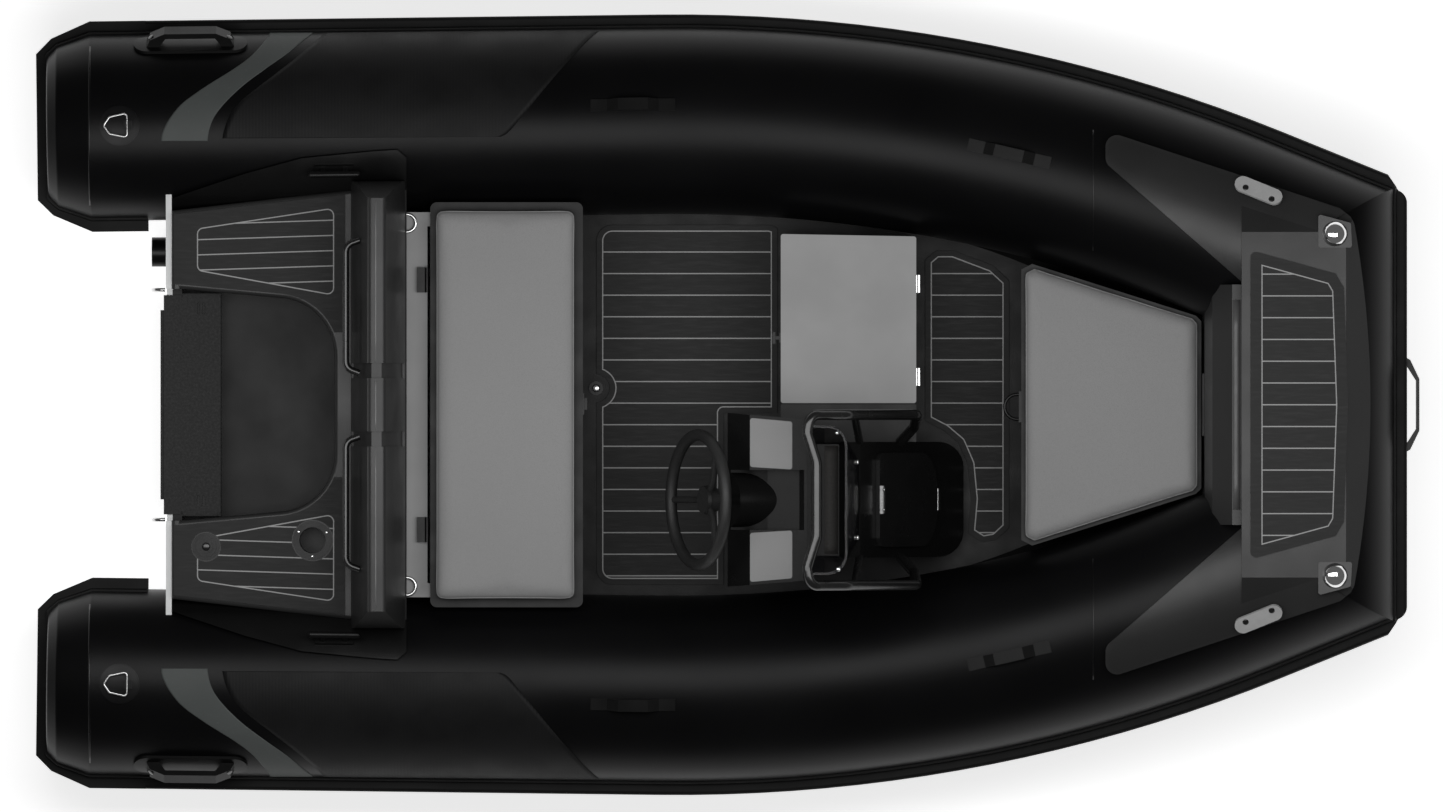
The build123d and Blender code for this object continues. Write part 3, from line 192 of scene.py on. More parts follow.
def woven(name, colour, rough, half_wave=0.0012, specular=0.11):
    """Coated fabric: a faint plain weave under a satin coat."""
    material, tree, shader, coords = new_material(name)
    patches = noise(tree, coords, 3.0, 5.0)
    base = blend_colours(tree, remap(tree, patches, 0.0, 1.0), shade(colour, 0.85), shade(colour, 1.2))
    dust = noise(tree, coords, 140.0, 8.0)
    specks = remap(tree, dust, 0.0, 0.12, 0.62, 0.8)
    base = blend_colours(tree, specks, base, shade(colour, 3.0))
    tree.links.new(base, shader.inputs["Base Color"])
    tree.links.new(remap(tree, patches, rough * 0.9, rough * 1.1), shader.inputs["Roughness"])
    threads = []
    for axis in ("X", "Y"):
        wave = bands(tree, coords, axis, half_wave)
        wave.inputs["Distortion"].default_value = 0.3
        threads.append(wave.outputs["Fac"])
    bump(tree, shader, math_node(tree, "MAXIMUM", *threads), 0.00008)
    shader.inputs["Specular IOR Level"].default_value = specular
    return material


def vinyl(name, colour, rough):
    """Upholstery vinyl with a pebbled leather grain, its creases darkened as painted shade."""
    material, tree, shader, coords = new_material(name)
    patches = noise(tree, coords, 5.0, 5.0)
    base = blend_colours(tree, remap(tree, patches, 0.0, 1.0), shade(colour, 0.93), shade(colour, 1.07))
    cells = tree.nodes.new("ShaderNodeTexVoronoi")
    cells.inputs["Scale"].default_value = 650.0
    tree.links.new(coords, cells.inputs["Vector"])
    # Painted shade: the grain's creases are darker
    crease_shade = remap(tree, cells.outputs["Distance"], 0.0, 0.35, 0.35, 0.8)
    base = blend_colours(tree, crease_shade, base, shade(colour, 0.6))
    tree.links.new(base, shader.inputs["Base Color"])
    tree.links.new(remap(tree, patches, rough * 0.9, rough * 1.1), shader.inputs["Roughness"])
    lower = bump(tree, shader, cells.outputs["Distance"], 0.0003, 0.5)
    bump(tree, shader, noise(tree, coords, 60.0, 3.0), 0.0006, 0.4, lower)
    shader.inputs["Specular IOR Level"].default_value = 0.35
    return material


FOAM_TOP_T = 0.0006     # dark top layer of the deck foam


def plank_foam(name, colour, line, top):
    """Deck foam in two layers: brushed dark on top, and light where it is cut below height top."""
    material, tree, shader, coords = new_material(name)
    fibres = noise(tree, coords, 220.0, 6.0, (0.12, 1.0, 1.0))
    base = blend_colours(tree, remap(tree, fibres, 0.0, 1.0), shade(colour, 0.75), shade(colour, 1.25))
    height = tree.nodes.new("ShaderNodeSeparateXYZ")
    tree.links.new(coords, height.inputs["Vector"])
    cut = math_node(tree, "LESS_THAN", height.outputs["Z"], top - FOAM_TOP_T)
    base = blend_colours(tree, cut, base, line)
    tree.links.new(base, shader.inputs["Base Color"])
    tree.links.new(remap(tree, fibres, 0.6, 0.8), shader.inputs["Roughness"])
    bump(tree, shader, fibres, 0.0004, 0.7)
    shader.inputs["Specular IOR Level"].default_value = 0.3
    return material


def brushed(name, colour, rough, stretch=(1.0, 30.0, 30.0)):
    """Metal with fine brush marks."""
    material, tree, shader, coords = new_material(name)
    marks = noise(tree, coords, 60.0, 8.0, stretch)
    base = blend_colours(tree, remap(tree, marks, 0.0, 1.0), shade(colour, 0.85), shade(colour, 1.1))
    tree.links.new(base, shader.inputs["Base Color"])
    tree.links.new(remap(tree, marks, rough * 0.7, rough * 1.4), shader.inputs["Roughness"])
    bump(tree, shader, marks, 0.00005, 0.4)
    shader.inputs["Metallic"].default_value = 1.0
    return material


def tinted(name, colour):
    """Dark clear acrylic with faint scratches."""
    material, tree, shader, coords = new_material(name)
    marks = noise(tree, coords, 40.0, 8.0, (1.0, 8.0, 8.0))
    base = blend_colours(tree, remap(tree, marks, 0.0, 1.0), shade(colour, 0.9), shade(colour, 1.1))
    tree.links.new(base, shader.inputs["Base Color"])
    tree.links.new(remap(tree, marks, 0.02, 0.08), shader.inputs["Roughness"])
    shader.inputs["Alpha"].default_value = 0.66
    shader.inputs["Specular IOR Level"].default_value = 0.2
    return material


def ribbed(name, colour, half_wave, axis):
    """Moulded rubber with fine ribs across one axis."""
    material, tree, shader, coords = new_material(name)
    patches = noise(tree, coords, 8.0, 5.0)
    base = blend_colours(tree, remap(tree, patches, 0.0, 1.0), shade(colour, 0.8), shade(colour, 1.25))
    tree.links.new(base, shader.inputs["Base Color"])
    tree.links.new(remap(tree, patches, 0.5, 0.65), shader.inputs["Roughness"])
    bump(tree, shader, bands(tree, coords, axis, half_wave).outputs["Fac"], 0.0004, 0.6)
    shader.inputs["Specular IOR Level"].default_value = 0.15
    return material


# Finishes

BLACK = (0.0022, 0.0022, 0.0024)
STRIPE_GREY = (0.072, 0.078, 0.076)
HULL_GREY = (0.48, 0.49, 0.49)

# Mottling and grain that several finishes share
SOFT_MOTTLE = (5.0, 0.2)
EVEN_MOTTLE = (3.0, 0.06)
FINE_GRAIN = (900.0, 0.0001)
SMOOTH_GRAIN = (1200.0, 0.00006)


def grey(value):
    """An even grey."""
    return value, value, value


PAD_TOP = grey(0.017)
PAD_LINE = grey(0.32)
LINER_GREY = grey(0.006)
WELL_SHADE_GREY = grey(0.009)
PLATE_GREY = grey(0.02)

finishes = {
    "tube_fabric": woven("TubeFabric", BLACK, 0.34),
    "rail_rubber": ribbed("RailRubber", grey(0.004), 0.002, "Z"),
    "keel_metal": brushed("KeelMetal", grey(0.5), 0.4),
    "deck_floor": surface("DeckFloor", grey(0.007), 0.5, SOFT_MOTTLE, (700.0, 0.0004), specular=0.22),
    "moulding": surface("Moulding", grey(0.017), 0.36, EVEN_MOTTLE, SMOOTH_GRAIN, specular=0.3),
    "flange_black": surface("FlangeBlack", grey(0.003), 0.35, SOFT_MOTTLE, FINE_GRAIN, specular=0.2),
    "motor_plate": surface(
        "MotorPlate", grey(0.012), 0.6, (60.0, 0.15), (500.0, 0.0004), wear_patch_and_edge_highlight=0.4, specular=0.2),
    "ring_patch": surface(
        "RingPatch", (0.002, 0.002, 0.0022), 0.36, SOFT_MOTTLE, FINE_GRAIN, specular=0.16),
    "lid_board": surface("LidBoard", grey(0.010), 0.45, SOFT_MOTTLE, FINE_GRAIN, specular=0.2),
    "stainless": brushed("Stainless", grey(0.62), 0.2),
    "chrome": brushed("Chrome", grey(0.9), 0.05),
    "black_tube": surface("BlackTube", grey(0.006), 0.25, (8.0, 0.15), (1500.0, 0.00005), coat=0.3),
    "seat_box": surface("SeatBox", grey(0.185), 0.5, (3.0, 0.08), FINE_GRAIN),
    "cleat_plate": surface("CleatPlate", grey(0.26), 0.35, (40.0, 0.1), FINE_GRAIN, specular=0.5),
    "dash_grey": surface("DashGrey", grey(0.14), 0.4, (3.0, 0.05), FINE_GRAIN, specular=0.2),
    "cushion": vinyl("Vinyl", grey(0.205), 0.5),
    "console_gloss": surface(
        "ConsoleGloss", grey(0.0045), 0.26, (3.0, 0.1), (1500.0, 0.00003), specular=0.08),
    "wheel_grip": surface("WheelGrip", grey(0.010), 0.5, (12.0, 0.2), (1400.0, 0.0003)),
    "screen": tinted("Screen", (0.004, 0.004, 0.005)),
}

# Nodes whose finish in the photograph differs from their slot's
OWN_FINISH = {
    "side_locker_lid": "seat_box",
    "side_locker": "lid_board",
    "bow_lid": "lid_board",
    "console_door": "black_tube",
    "locker_latch": "flange_black",
    "bench_latch": "flange_black",
    "bow_hinge": "flange_black",
    "bow_cleats": "cleat_plate",
    "bow_locker": "lid_board",
    "dash_panels": "dash_grey",
}
PADS = ("floor_pad_aft", "floor_pad_forward", "stern_pad_port", "stern_pad_starboard", "bow_pad")


def place_of(material):
    """The tree and shader of a finish, and sockets for X, Y and Z on the boat."""
    tree = material.node_tree
    place = tree.nodes.new("ShaderNodeSeparateXYZ")
    tree.links.new(tree.nodes["Texture Coordinate"].outputs["Object"], place.inputs["Vector"])
    return tree, tree.nodes["Principled BSDF"], place.outputs


def recoloured(tree, shader, share, colour):
    """Give the finish another colour where share is 1."""
    base = shader.inputs["Base Color"].links[0].from_socket
    tree.links.new(blend_colours(tree, share, base, colour), shader.inputs["Base Color"])


DOME_BASE_T = 0.0043    # fairlead's base plate above the foredeck
DECK_EDGE_DROP = 0.012  # rounded edge of the side decks
LINER_SET_IN = 0.002    # liner's edge forward of the transom's back


def chrome_on_base():
    """Mirror chrome above the fairlead's base plate, dark moulding on the plate."""
    material = brushed("DomeChrome", grey(0.9), 0.05)
    tree, shader, place = place_of(material)
    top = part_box("foredeck")[1].z + DOME_BASE_T
    is_dome = math_node(tree, "GREATER_THAN", place["Z"], top)
    base = shader.inputs["Base Color"].links[0].from_socket
    colour = blend_colours(tree, is_dome, PLATE_GREY, base)
    tree.links.new(colour, shader.inputs["Base Color"])
    tree.links.new(is_dome, shader.inputs["Metallic"])
    tree.links.new(remap(tree, is_dome, 0.4, 0.08, 0.0, 1.0), shader.inputs["Roughness"])
    return material


def hull_material():
    """The hull's pale paint, and a dark liner inside above the floor."""
    material = surface("HullPaint", HULL_GREY, 0.3, (1.5, 0.05), (300.0, 0.0001), 0.1, coat=0.4)
    tree, shader, place = place_of(material)
    high = math_node(tree, "GREATER_THAN", place["Z"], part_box("deck_floor")[0].z)
    inside = math_node(tree, "GREATER_THAN", place["X"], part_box("stern_moulding")[0].x + LINER_SET_IN)
    liner = math_node(tree, "MULTIPLY", high, inside)
    recoloured(tree, shader, liner, LINER_GREY)
    tree.links.new(remap(tree, liner, 0.4, 0.0, 0.0, 1.0), shader.inputs["Coat Weight"])
    return material


def well_material():
    """The stern moulding's finish, darker below the side decks as painted shade."""
    material = surface("SternMoulding", grey(0.021), 0.36, EVEN_MOTTLE, SMOOTH_GRAIN, specular=0.3)
    tree, shader, place = place_of(material)
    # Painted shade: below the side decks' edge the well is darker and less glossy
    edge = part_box("stern_moulding")[1].z - DECK_EDGE_DROP
    low = math_node(tree, "LESS_THAN", place["Z"], edge)
    recoloured(tree, shader, low, WELL_SHADE_GREY)
    tree.links.new(remap(tree, low, 0.3, 0.12, 0.0, 1.0), shader.inputs["Specular IOR Level"])
    return material


def node_material(name, slot):
    """The finish of one CAD node."""
    special = {"bow_domes": chrome_on_base, "stern_moulding": well_material, "hull": hull_material}
    if name in special:
        return special[name]()
    if name in PADS:
        return plank_foam(name, PAD_TOP, PAD_LINE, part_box(name)[1].z)
    return finishes[OWN_FINISH.get(name, slot)]


def dress_nodes():
    """Give every CAD node its finish."""
    for part in frame["record"]["subparts"]:
        name = part["node"]
        nodes[name].data.materials.clear()
        nodes[name].data.materials.append(node_material(name, part["material_slot"]))


# Mesh helpers

def piece(name, verts, faces, material, body="boat"):
    """A smooth-shaded mesh piece that rides on a body."""
    mesh = bpy.data.meshes.new(name)
    mesh.from_pydata([tuple(v) for v in verts], [], faces)
    mesh.validate()
    mesh.polygons.foreach_set("use_smooth", [True] * len(mesh.polygons))
    made = bpy.data.objects.new(name, mesh)
    bpy.context.scene.collection.objects.link(made)
    mesh.materials.append(material)
    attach(made, body)
    return made


def closed_grid(rows, lift):
    """Vertices and faces of a thin closed sheet: rows of (point, normal), lifted by lift."""
    count, width = len(rows), len(rows[0])
    top = [p + n * lift for row in rows for p, n in row]
    low = [p - n * lift for row in rows for p, n in row]
    verts, faces = top + low, []
    shift = count * width
    for i in range(count - 1):
        for j in range(width - 1):
            a = i * width + j
            quad = (a, a + 1, a + width + 1, a + width)
            faces += [quad, tuple(shift + k for k in reversed(quad))]
    rim = list(range(width)) + [i * width + width - 1 for i in range(1, count)]
    rim += [(count - 1) * width + j for j in range(width - 2, -1, -1)]
    rim += [i * width for i in range(count - 2, 0, -1)]
    for a, b in zip(rim, rim[1:] + rim[:1]):
        faces.append((b, a, shift + a, shift + b))
    return verts, faces


def smooth_line(points, steps):
    """Points along a smooth curve through the given points."""
    made = []
    padded = [points[0]] + list(points) + [points[-1]]
    for k in range(1, len(padded) - 2):
        p0, p1, p2, p3 = (Vector(p) for p in padded[k - 1:k + 3])
        for s in range(steps):
            t = s / steps
            made.append(0.5 * ((2 * p1) + (p2 - p0) * t + (2 * p0 - 5 * p1 + 4 * p2 - p3) * t * t
                               + (3 * p1 - p0 - 3 * p2 + p3) * t ** 3))
    made.append(Vector(points[-1]))
    return made


def tube_mid(x):
    """Distance of a tube's middle line from the centre plane."""
    return STERN_HALF + (x - SEAM_X) * math.tan(FLARE)


def tube_surface(x, angle, side):
    """A point on a side tube's straight run and its outward normal; angle outboard from the top."""
    normal = Vector((0, side * math.sin(angle), math.cos(angle)))
    return Vector((x, side * tube_mid(x), TUBE_Z)) + normal * TUBE_R, normal


def as_angles(edge):
    """An edge's points (x, distance from the centre plane) as x and angle from the tube's top."""
    return [(x, math.asin(max(-1.0, min(1.0, (y - tube_mid(x)) / TUBE_R))), 0) for x, y in edge]


def tube_patch(name, aft, fore, material, side, columns, steps=8):
    """A thin patch on a tube between an aft and a fore edge, each from inboard to outboard."""
    aft, fore = smooth_line(as_angles(aft), steps), smooth_line(as_angles(fore), steps)
    rows = []
    for a, b in zip(aft, fore):
        row = []
        for k in range(columns + 1):
            at = a.lerp(b, k / columns)
            row.append(tube_surface(at.x, at.y, side))
        rows.append(row)
    if side < 0:
        rows = [list(reversed(row)) for row in rows]
    verts, faces = closed_grid(rows, PATCH_T)
    return piece(name, verts, faces, material)


# Edges of the patches on the tubes as (x, distance from the centre plane), from the inner end
# outwards
STRIPE_AFT = ((-1.347, 0.634), (-1.3445, 0.653), (-1.3295, 0.6835), (-1.299, 0.7215), (-1.248, 0.7595),
              (-1.172, 0.8077), (-1.127, 0.843), (-1.0965, 0.8787), (-1.088, 0.895))
STRIPE_FORE = ((-1.2356, 0.634), (-1.2306, 0.6633), (-1.218, 0.6938), (-1.190, 0.7292), (-1.147, 0.7697),
               (-1.0965, 0.8077), (-1.0406, 0.8481), (-0.995, 0.8861), (-0.985, 0.895))
WEAR_AFT = ((-1.200, 0.640), (-1.193, 0.670), (-1.177, 0.704), (-1.152, 0.733), (-1.116, 0.762),
            (-1.070, 0.797), (-1.021, 0.836), (-0.976, 0.875), (-0.957, 0.895))
WEAR_FORE = ((-0.531, 0.644), (-0.512, 0.655), (-0.480, 0.693), (-0.449, 0.731), (-0.418, 0.769),
             (-0.386, 0.807), (-0.352, 0.845), (-0.316, 0.883), (-0.296, 0.900))


def tube_patches():
    """Grey stripe and ribbed wear patch on each tube."""
    stripe = woven("StripeFabric", STRIPE_GREY, 0.5)
    wear_patch_and_edge_highlight = ribbed("WearPatch", (0.0055, 0.0055, 0.0057), 0.004, "X")
    kinds = (("stripe", STRIPE_AFT, STRIPE_FORE, stripe, 24), ("wear_patch", WEAR_AFT, WEAR_FORE, wear_patch_and_edge_highlight, 48))
    for side, word in ((1, "port"), (-1, "starboard")):
        for kind, aft, fore, material, columns in kinds:
            tube_patch(f"{kind}_{word}", aft, fore, material, side, columns)


# Cushions

PRESSURE, CLOTH_FRAMES = 4.0, 15
WELT_R, WELT_DROP, WELT_STEP = 0.0018, 0.008, 0.02
PAD_INSET, WELT_INSET = 0.6, 0.5    # shares of the puffing and of the pad's inset


def prism(outline, z0, z1):
    """A closed prism on a plan outline."""
    n = len(outline)
    verts = [Vector((x, y, z)) for z in (z0, z1) for x, y in outline]
    faces = [tuple(reversed(range(n))), tuple(range(n, 2 * n))]
    faces += [(k, (k + 1) % n, n + (k + 1) % n, n + k) for k in range(n)]
    return verts, faces


def rounded(outline, radius, steps=6):
    """A plan outline, counter-clockwise, with rounded corners."""
    made = []
    n = len(outline)
    for k in range(n):
        p = Vector(outline[k])
        a, b = (Vector(outline[k - 1]) - p).normalized(), (Vector(outline[(k + 1) % n]) - p).normalized()
        half = a.angle(b) / 2
        reach = radius / math.tan(half)
        middle = p + (a + b).normalized() * (radius / math.sin(half))
        start, end = p + a * reach - middle, p + b * reach - middle
        sweep = start.angle(end)
        turn = 1 if start.x * end.y - start.y * end.x > 0 else -1
        for s in range(steps + 1):
            made.append(tuple(middle + Matrix.Rotation(turn * sweep * s / steps, 2) @ start))
    return made


def shrunk(outline, inset):
    """A plan outline moved inwards by inset along its corner bisectors."""
    made = []
    n = len(outline)
    for k in range(n):
        p = Vector(outline[k])
        a, b = (Vector(outline[k - 1]) - p).normalized(), (Vector(outline[(k + 1) % n]) - p).normalized()
        half = a.angle(b) / 2
        made.append(tuple(p + (a + b).normalized() * (inset / math.sin(half))))
    return made


def puffed(pad, voxel, cap, floor_z):
    """Blow the mesh up with a cloth simulation, at most by cap and flat where it rests."""
    scene = bpy.context.scene
    remesh = pad.modifiers.new("Remesh", "REMESH")
    remesh.mode, remesh.voxel_size = "VOXEL", voxel
    freeze(pad)
    start = [v.co.copy() for v in pad.data.vertices]
    cloth = pad.modifiers.new("Cloth", "CLOTH")
    cloth.settings.use_pressure = True
    cloth.settings.uniform_pressure_force = PRESSURE
    cloth.settings.effector_weights.gravity = 0.0
    for number in range(1, CLOTH_FRAMES + 1):
        scene.frame_set(number)
    freeze(pad)
    scene.frame_set(1)
    for vertex, rest in zip(pad.data.vertices, start):
        move = vertex.co - rest
        if move.length > cap:
            vertex.co = rest + move.normalized() * cap
        vertex.co.z = max(vertex.co.z, floor_z)


def freeze(made):
    """Apply every modifier of a piece to its mesh."""
    graph = bpy.context.evaluated_depsgraph_get()
    graph.update()
    mesh = bpy.data.meshes.new_from_object(made.evaluated_get(graph))
    made.modifiers.clear()
    made.data = mesh


def welt(name, pad, outline, z, body):
    """Piping round a cushion, laid on its surface."""
    tree = BVHTree.FromObject(pad, bpy.context.evaluated_depsgraph_get())
    curve = bpy.data.curves.new(name, "CURVE")
    curve.dimensions = "3D"
    spline = curve.splines.new("NURBS")
    dense = []
    for a, b in zip(outline, outline[1:] + outline[:1]):
        a, b = Vector(a), Vector(b)
        count = max(1, int((b - a).length / WELT_STEP))
        dense += [a.lerp(b, k / count) for k in range(count)]
    spline.points.add(len(dense) - 1)
    for k, at in enumerate(dense):
        near = tree.find_nearest(Vector((at.x, at.y, z)))[0]
        spline.points[k].co = (near.x, near.y, near.z, 1.0)
    spline.use_cyclic_u = True
    spline.order_u = 3
    curve.bevel_depth = WELT_R
    curve.bevel_resolution = 3
    made = bpy.data.objects.new(name, curve)
    bpy.context.scene.collection.objects.link(made)
    curve.materials.append(finishes["cushion"])
    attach(made, body)


def cushion(name, node, outline, body, corner, voxel, cap):
    """A padded seat on a lid, in place of its CAD solid."""
    low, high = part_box(node)
    inset = cap * PAD_INSET
    plan = rounded(shrunk(outline, inset), corner)
    verts, faces = prism(plan, low.z, high.z - inset)
    made = piece(name, verts, faces, finishes["cushion"])
    puffed(made, voxel, cap, low.z)
    made.data.polygons.foreach_set("use_smooth", [True] * len(made.data.polygons))
    made.data.materials.clear()
    made.data.materials.append(finishes["cushion"])
    smooth = made.modifiers.new("Smooth", "SMOOTH")
    smooth.iterations = 6
    smooth.factor = 0.5
    made.modifiers.new("Subdivision", "SUBSURF").render_levels = 1
    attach(made, body)
    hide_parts(node)
    rim = rounded(shrunk(outline, inset * WELT_INSET), corner)
    welt(f"{name}_welt", made, rim, high.z - WELT_DROP, body)


# Corner radius, voxel of the mesh and most that the cloth may puff it
BENCH_PAD = (0.018, 0.008, 0.006)
BOW_PAD = (0.008, 0.007, 0.005)
BOW_LID_PLAN = ((0.724, 0.3225), (0.750, 0.3355), (1.138, 0.2136), (1.151, 0.2006))


def cushions():
    """The bench's and the bow locker's cushions."""
    low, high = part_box("bench_cushion")
    plan = [(low.x, low.y), (high.x, low.y), (high.x, high.y), (low.x, high.y)]
    cushion("bench_seat_pad", "bench_cushion", plan, "bench_seat", *BENCH_PAD)
    plan = [(x, -y) for x, y in BOW_LID_PLAN] + list(reversed(BOW_LID_PLAN))
    cushion("bow_seat_pad", "bow_cushion", plan, "bow_seat", *BOW_PAD)


# Screws and small fittings

HEAD_HEIGHT, HEAD_SINK = 0.0016, 0.0004
RAY_START_Z = 3.0       # above everything


def disc(centre, normal, r, height, sides=16):
    """Vertices and faces of a low domed screw head."""
    turn = normal.to_track_quat("Z", "Y").to_matrix()
    rings = ((r, 0.0), (r, height * 0.6), (r * 0.7, height))
    verts = []
    for radius, z in rings:
        for k in range(sides):
            a = math.tau * k / sides
            verts.append(centre + turn @ Vector((radius * math.cos(a), radius * math.sin(a), z)))
    faces = [tuple(reversed(range(sides)))]
    for i in range(len(rings) - 1):
        for k in range(sides):
            a, b = i * sides + k, i * sides + (k + 1) % sides
            faces.append((a, b, b + sides, a + sides))
    faces.append(tuple(range((len(rings) - 1) * sides, len(rings) * sides)))
    return verts, faces


def surface_hit(node, x, y):
    """Highest point of a CAD node under a plan position, and its normal."""
    tree = BVHTree.FromObject(nodes[node], bpy.context.evaluated_depsgraph_get())
    matrix = nodes[node].matrix_world
    inverse = matrix.inverted()
    start, down = inverse @ Vector((x, y, RAY_START_Z)), inverse.to_3x3() @ Vector((0, 0, -1))
    at, normal, _, _ = tree.ray_cast(start, down.normalized())
    if at is None:
        return None, None
    return matrix @ at, (matrix.to_3x3() @ normal).normalized()


def screws(name, node, spots, r, material, body="boat", height=HEAD_HEIGHT):
    """Screw heads of radius r on top of a CAD node at plan positions."""
    verts, faces = [], []
    for x, y in spots:
        at, normal = surface_hit(node, x, y)
        if at is None:
            continue
        more, some = disc(at - normal * HEAD_SINK, normal, r, height)
        faces += [tuple(k + len(verts) for k in face) for face in some]
        verts += more
    return piece(name, verts, faces, material, body)


def both(spots):
    """Plan positions on port and their twins to starboard."""
    return [(x, side * y) for x, y in spots for side in (1, -1)]


# Plan positions of the screws and radii of their heads
CLEAT_SCREWS, CLEAT_HEAD_R = ((1.256, 0.521), (1.318, 0.493)), 0.0075
HANDLE_SCREWS, HANDLE_HEAD_R = ((-1.374, 0.884), (-1.184, 0.884)), 0.008
LATCH_SCREWS, LATCH_HEAD_R = ((0.3885, -0.204), (0.3885, -0.252)), 0.003
SOCKET_AT, SOCKET_CIRCLE_R, SOCKET_HEAD_R = (-0.984, -0.326), 0.039, 0.0035
SOCKET_ANGLES = (0.5, 2.6, 4.7)


def fittings():
    """Screws of the cleats, the socket, the handles and the door's latch."""
    dark, steel = finishes["black_tube"], finishes["stainless"]
    screws("cleat_screws", "bow_cleats", both(CLEAT_SCREWS), CLEAT_HEAD_R, dark)
    x, y = SOCKET_AT
    ring = [(x + SOCKET_CIRCLE_R * math.cos(a), y + SOCKET_CIRCLE_R * math.sin(a)) for a in SOCKET_ANGLES]
    screws("socket_screws", "pole_socket", ring, SOCKET_HEAD_R, steel)
    screws("handle_screws", "stern_handles", both(HANDLE_SCREWS), HANDLE_HEAD_R, dark)
    screws("latch_screws", "door_latch", LATCH_SCREWS, LATCH_HEAD_R, steel, "front_door")


def ribbon(name, node, line, width, lift, material):
    """A thin flat strip laid on a CAD node along a plan line, but for points that miss the node."""
    rows = []
    for k, at in enumerate(line):
        a, b = Vector(line[max(k - 1, 0)]), Vector(line[min(k + 1, len(line) - 1)])
        along = (b - a).normalized()
        side = Vector((-along.y, along.x)) * width / 2
        row = []
        for share in (-1, 0, 1):
            x, y = at[0] + side.x * share, at[1] + side.y * share
            point, normal = surface_hit(node, x, y)
            if point is None:
                break
            row.append((point, normal))
        if len(row) == 3:
            rows.append(list(reversed(row)))
    verts, faces = closed_grid(rows, lift)
    return piece(name, verts, faces, material)


def line_between(a, b, count):
    """Points evenly spaced from a to b."""
    return [tuple(Vector(a).lerp(Vector(b), k / count)) for k in range(count)] + [tuple(b)]


# Tube seams: place along the boat, reach from inboard to outboard, width
SEAM_RUNS = {"cone": (SEAM_X, (0.480, 0.862), 0.004), "mid": (0.892, (0.370, 0.660), 0.003)}
SEAM_LIFT = 0.0007


def seams():
    """Glued seams of the tubes."""
    tape = surface("SeamTape", (0.0016, 0.0016, 0.0017), 0.3, SOFT_MOTTLE, FINE_GRAIN, specular=0.3)
    for side, word in ((1, "port"), (-1, "starboard")):
        for key, (x, (inner, outer), width) in SEAM_RUNS.items():
            line = line_between((x, side * inner), (x, side * outer), 24)
            ribbon(f"seam_{key}_{word}", f"tube_{word}", line, width, SEAM_LIFT, tape)


GRAIN_BAND = ((0.246, -0.358), (0.279, -0.098))     # corners on the plan
GRAIN_LIFT = 0.0016
SCREEN_BOLTS = ((0.277, -0.0656), (0.3227, -0.1373), (0.3227, -0.318), (0.2786, -0.3934))
BOLT_HEAD_R, BOLT_HEAD_HEIGHT = 0.0055, 0.006


def console_details():
    """Grained band behind the screen and the screen's bolts."""
    colour = (0.020, 0.019, 0.018)
    grain = surface("GrainedBand", colour, 0.7, (200.0, 0.3), (420.0, 0.0008), 0.0, specular=0.25)
    (x0, y0), (x1, y1) = GRAIN_BAND
    x = (x0 + x1) / 2
    line = line_between((x, y0), (x, y1), 12)
    ribbon("grained_band", "console_body", line, x1 - x0, GRAIN_LIFT, grain)
    screws("screen_bolts", "windscreen", SCREEN_BOLTS, BOLT_HEAD_R, finishes["chrome"],
           height=BOLT_HEAD_HEIGHT)


# The backrest's painted ridge highlight, a lighter strip, lies in three parts, each from starboard to port
RIDGE_HIGHLIGHT_X, RIDGE_HIGHLIGHT_W, RIDGE_HIGHLIGHT_LIFT = -0.829, 0.003, 0.0006
RIDGE_HIGHLIGHT_SPANS = ((0.104, 0.488), (-0.060, 0.060), (-0.488, -0.104))
# The bow step's ledge, drawn as a lighter strip: a painted highlight
LEDGE_X, LEDGE_HALF, LEDGE_W, LEDGE_LIFT = 1.235, 0.252, 0.018, 0.0008
HIGHLIGHT_STRIP_GRAIN = (900.0, 0.00005)
DRAIN_R, DRAIN_HEIGHT = 0.0095, 0.0042
CAP_AT, CAP_BOSS_R, CAP_BOSS_HEIGHT = (-1.240, -0.341), 0.010, 0.004


def deck_details():
    """The backrest's painted ridge highlight, the step's painted ledge highlight, the floor drain's insert
    and the cap's boss.
    """
    # Painted highlight: lighter strips along the backrest's ridge
    ridge_highlight_finish = surface("RidgeHighlight", grey(0.10), 0.35, (20.0, 0.1), HIGHLIGHT_STRIP_GRAIN)
    for k, (low_y, high_y) in enumerate(RIDGE_HIGHLIGHT_SPANS):
        line = line_between((RIDGE_HIGHLIGHT_X, low_y), (RIDGE_HIGHLIGHT_X, high_y), 6)
        ribbon(f"ridge_highlight_strip_{k}", "backrest", line, RIDGE_HIGHLIGHT_W, RIDGE_HIGHLIGHT_LIFT, ridge_highlight_finish)
    # Painted highlight: a lighter strip along the bow step's ledge
    ledge_highlight_finish = surface("StepLedgeHighlight", grey(0.055), 0.4, (10.0, 0.1), HIGHLIGHT_STRIP_GRAIN)
    line = line_between((LEDGE_X, -LEDGE_HALF), (LEDGE_X, LEDGE_HALF), 8)
    ribbon("step_ledge_highlight", "bow_step", line, LEDGE_W, LEDGE_LIFT, ledge_highlight_finish)
    low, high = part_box("floor_ring")
    spot = ((low.x + high.x) / 2, (low.y + high.y) / 2)
    screws("drain_insert", "deck_floor", [spot], DRAIN_R, finishes["stainless"], height=DRAIN_HEIGHT)
    screws("cap_boss", "filler_cap", [CAP_AT], CAP_BOSS_R, finishes["black_tube"],
           height=CAP_BOSS_HEIGHT)


# Stage

SENSOR_W = 36.0
LIGHT_Z, LIGHT_SIZE, LIGHT_WATTS = 2.6, (4.4, 1.1), 62.0
SKY_STRENGTH = 0.11
FLOOR_HALF, FLOOR_GLOW = 40.0, 0.75     # the floor glows a little, so that it stays white


def photo_point(px, py):
    """Plan position of a pixel of the photograph."""
    return (px - PHOTO_MID_X) * METRES_PER_PIXEL, (PHOTO_MID_Y - py) * METRES_PER_PIXEL


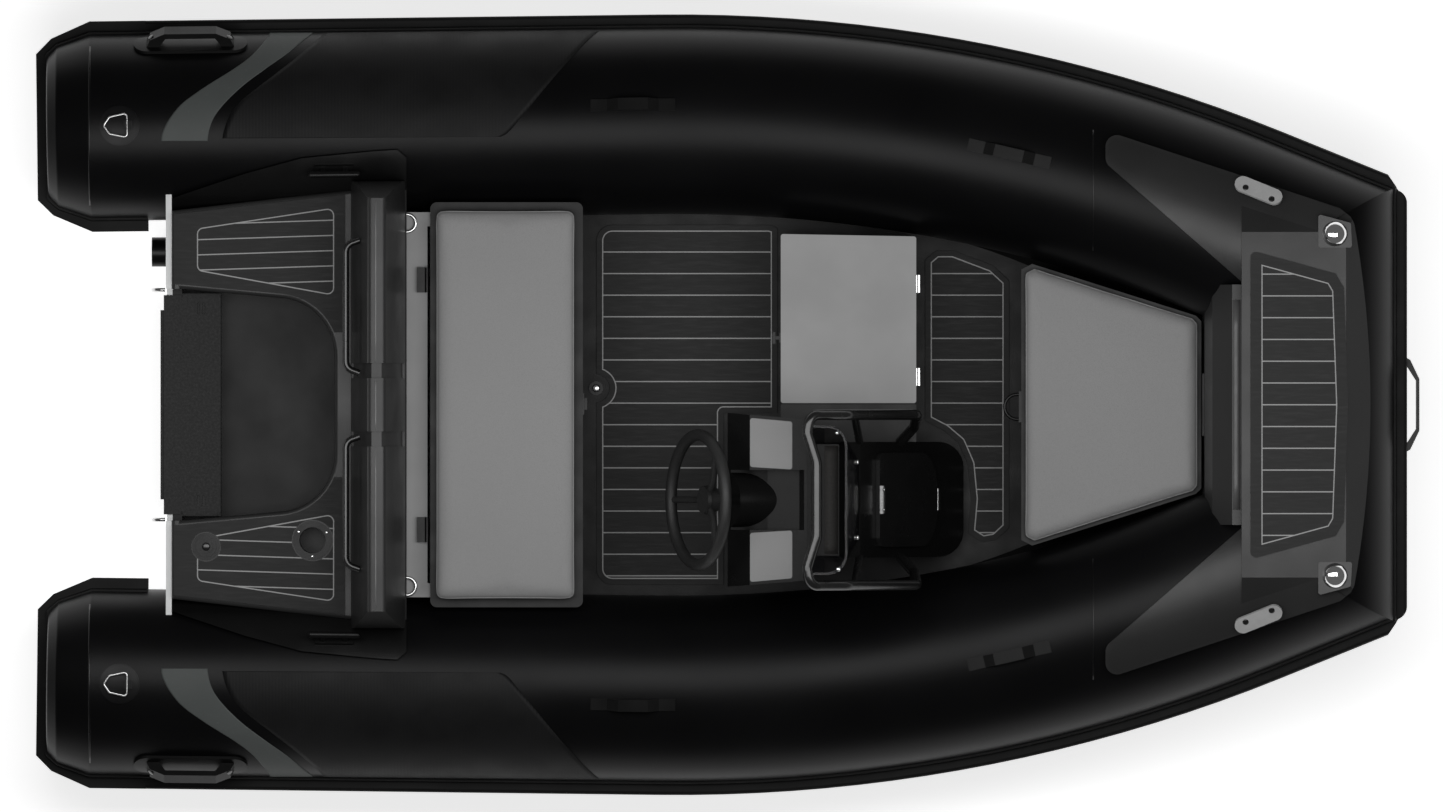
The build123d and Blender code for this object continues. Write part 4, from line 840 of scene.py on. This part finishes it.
def camera():
    """A very long lens straight above the boat, so that perspective all but vanishes."""
    data = bpy.data.cameras.new("Camera")
    distance = CAMERA_Z - REFERENCE_Z
    data.sensor_width = SENSOR_W
    data.lens = data.sensor_width * distance / (PHOTO_W * METRES_PER_PIXEL)
    data.clip_end = 2 * CAMERA_Z
    made = bpy.data.objects.new("Camera", data)
    bpy.context.scene.collection.objects.link(made)
    x, y = photo_point(PHOTO_W / 2, PHOTO_H / 2)
    made.location = (x, y, CAMERA_Z)
    bpy.context.scene.camera = made


def area_light(name, at, size, watts):
    """A rectangular soft light that looks straight down."""
    data = bpy.data.lights.new(name, "AREA")
    data.shape = "RECTANGLE"
    data.size, data.size_y = size
    data.energy = watts
    made = bpy.data.objects.new(name, data)
    made.location = at
    made.visible_camera = False
    bpy.context.scene.collection.objects.link(made)


def water_plane():
    """Plain pale floor at the waterline."""
    a = FLOOR_HALF
    material = surface("Floor", grey(0.9), 0.9, (0.5, 0.01), (20.0, 0.0), 0.0, specular=0.0)
    mesh = bpy.data.meshes.new("floor")
    mesh.from_pydata([(-a, -a, 0), (a, -a, 0), (a, a, 0), (-a, a, 0)], [], [(0, 1, 2, 3)])
    made = bpy.data.objects.new("floor", mesh)
    bpy.context.scene.collection.objects.link(made)
    shader = material.node_tree.nodes["Principled BSDF"]
    shader.inputs["Emission Color"].default_value = (1, 1, 1, 1)
    shader.inputs["Emission Strength"].default_value = FLOOR_GLOW
    mesh.materials.append(material)


def sky():
    """Even pale light from all round."""
    world = bpy.data.worlds.new("Studio")
    bpy.context.scene.world = world
    world.use_nodes = True
    background = world.node_tree.nodes["Background"]
    background.inputs["Color"].default_value = (1, 1, 1, 1)
    background.inputs["Strength"].default_value = SKY_STRENGTH


bpy.context.scene.view_settings.view_transform = "Standard"
camera()
sky()
area_light("Overhead", (0, 0, LIGHT_Z), LIGHT_SIZE, LIGHT_WATTS)
water_plane()
dress_nodes()
tube_patches()
cushions()
fittings()
seams()
console_details()
deck_details()
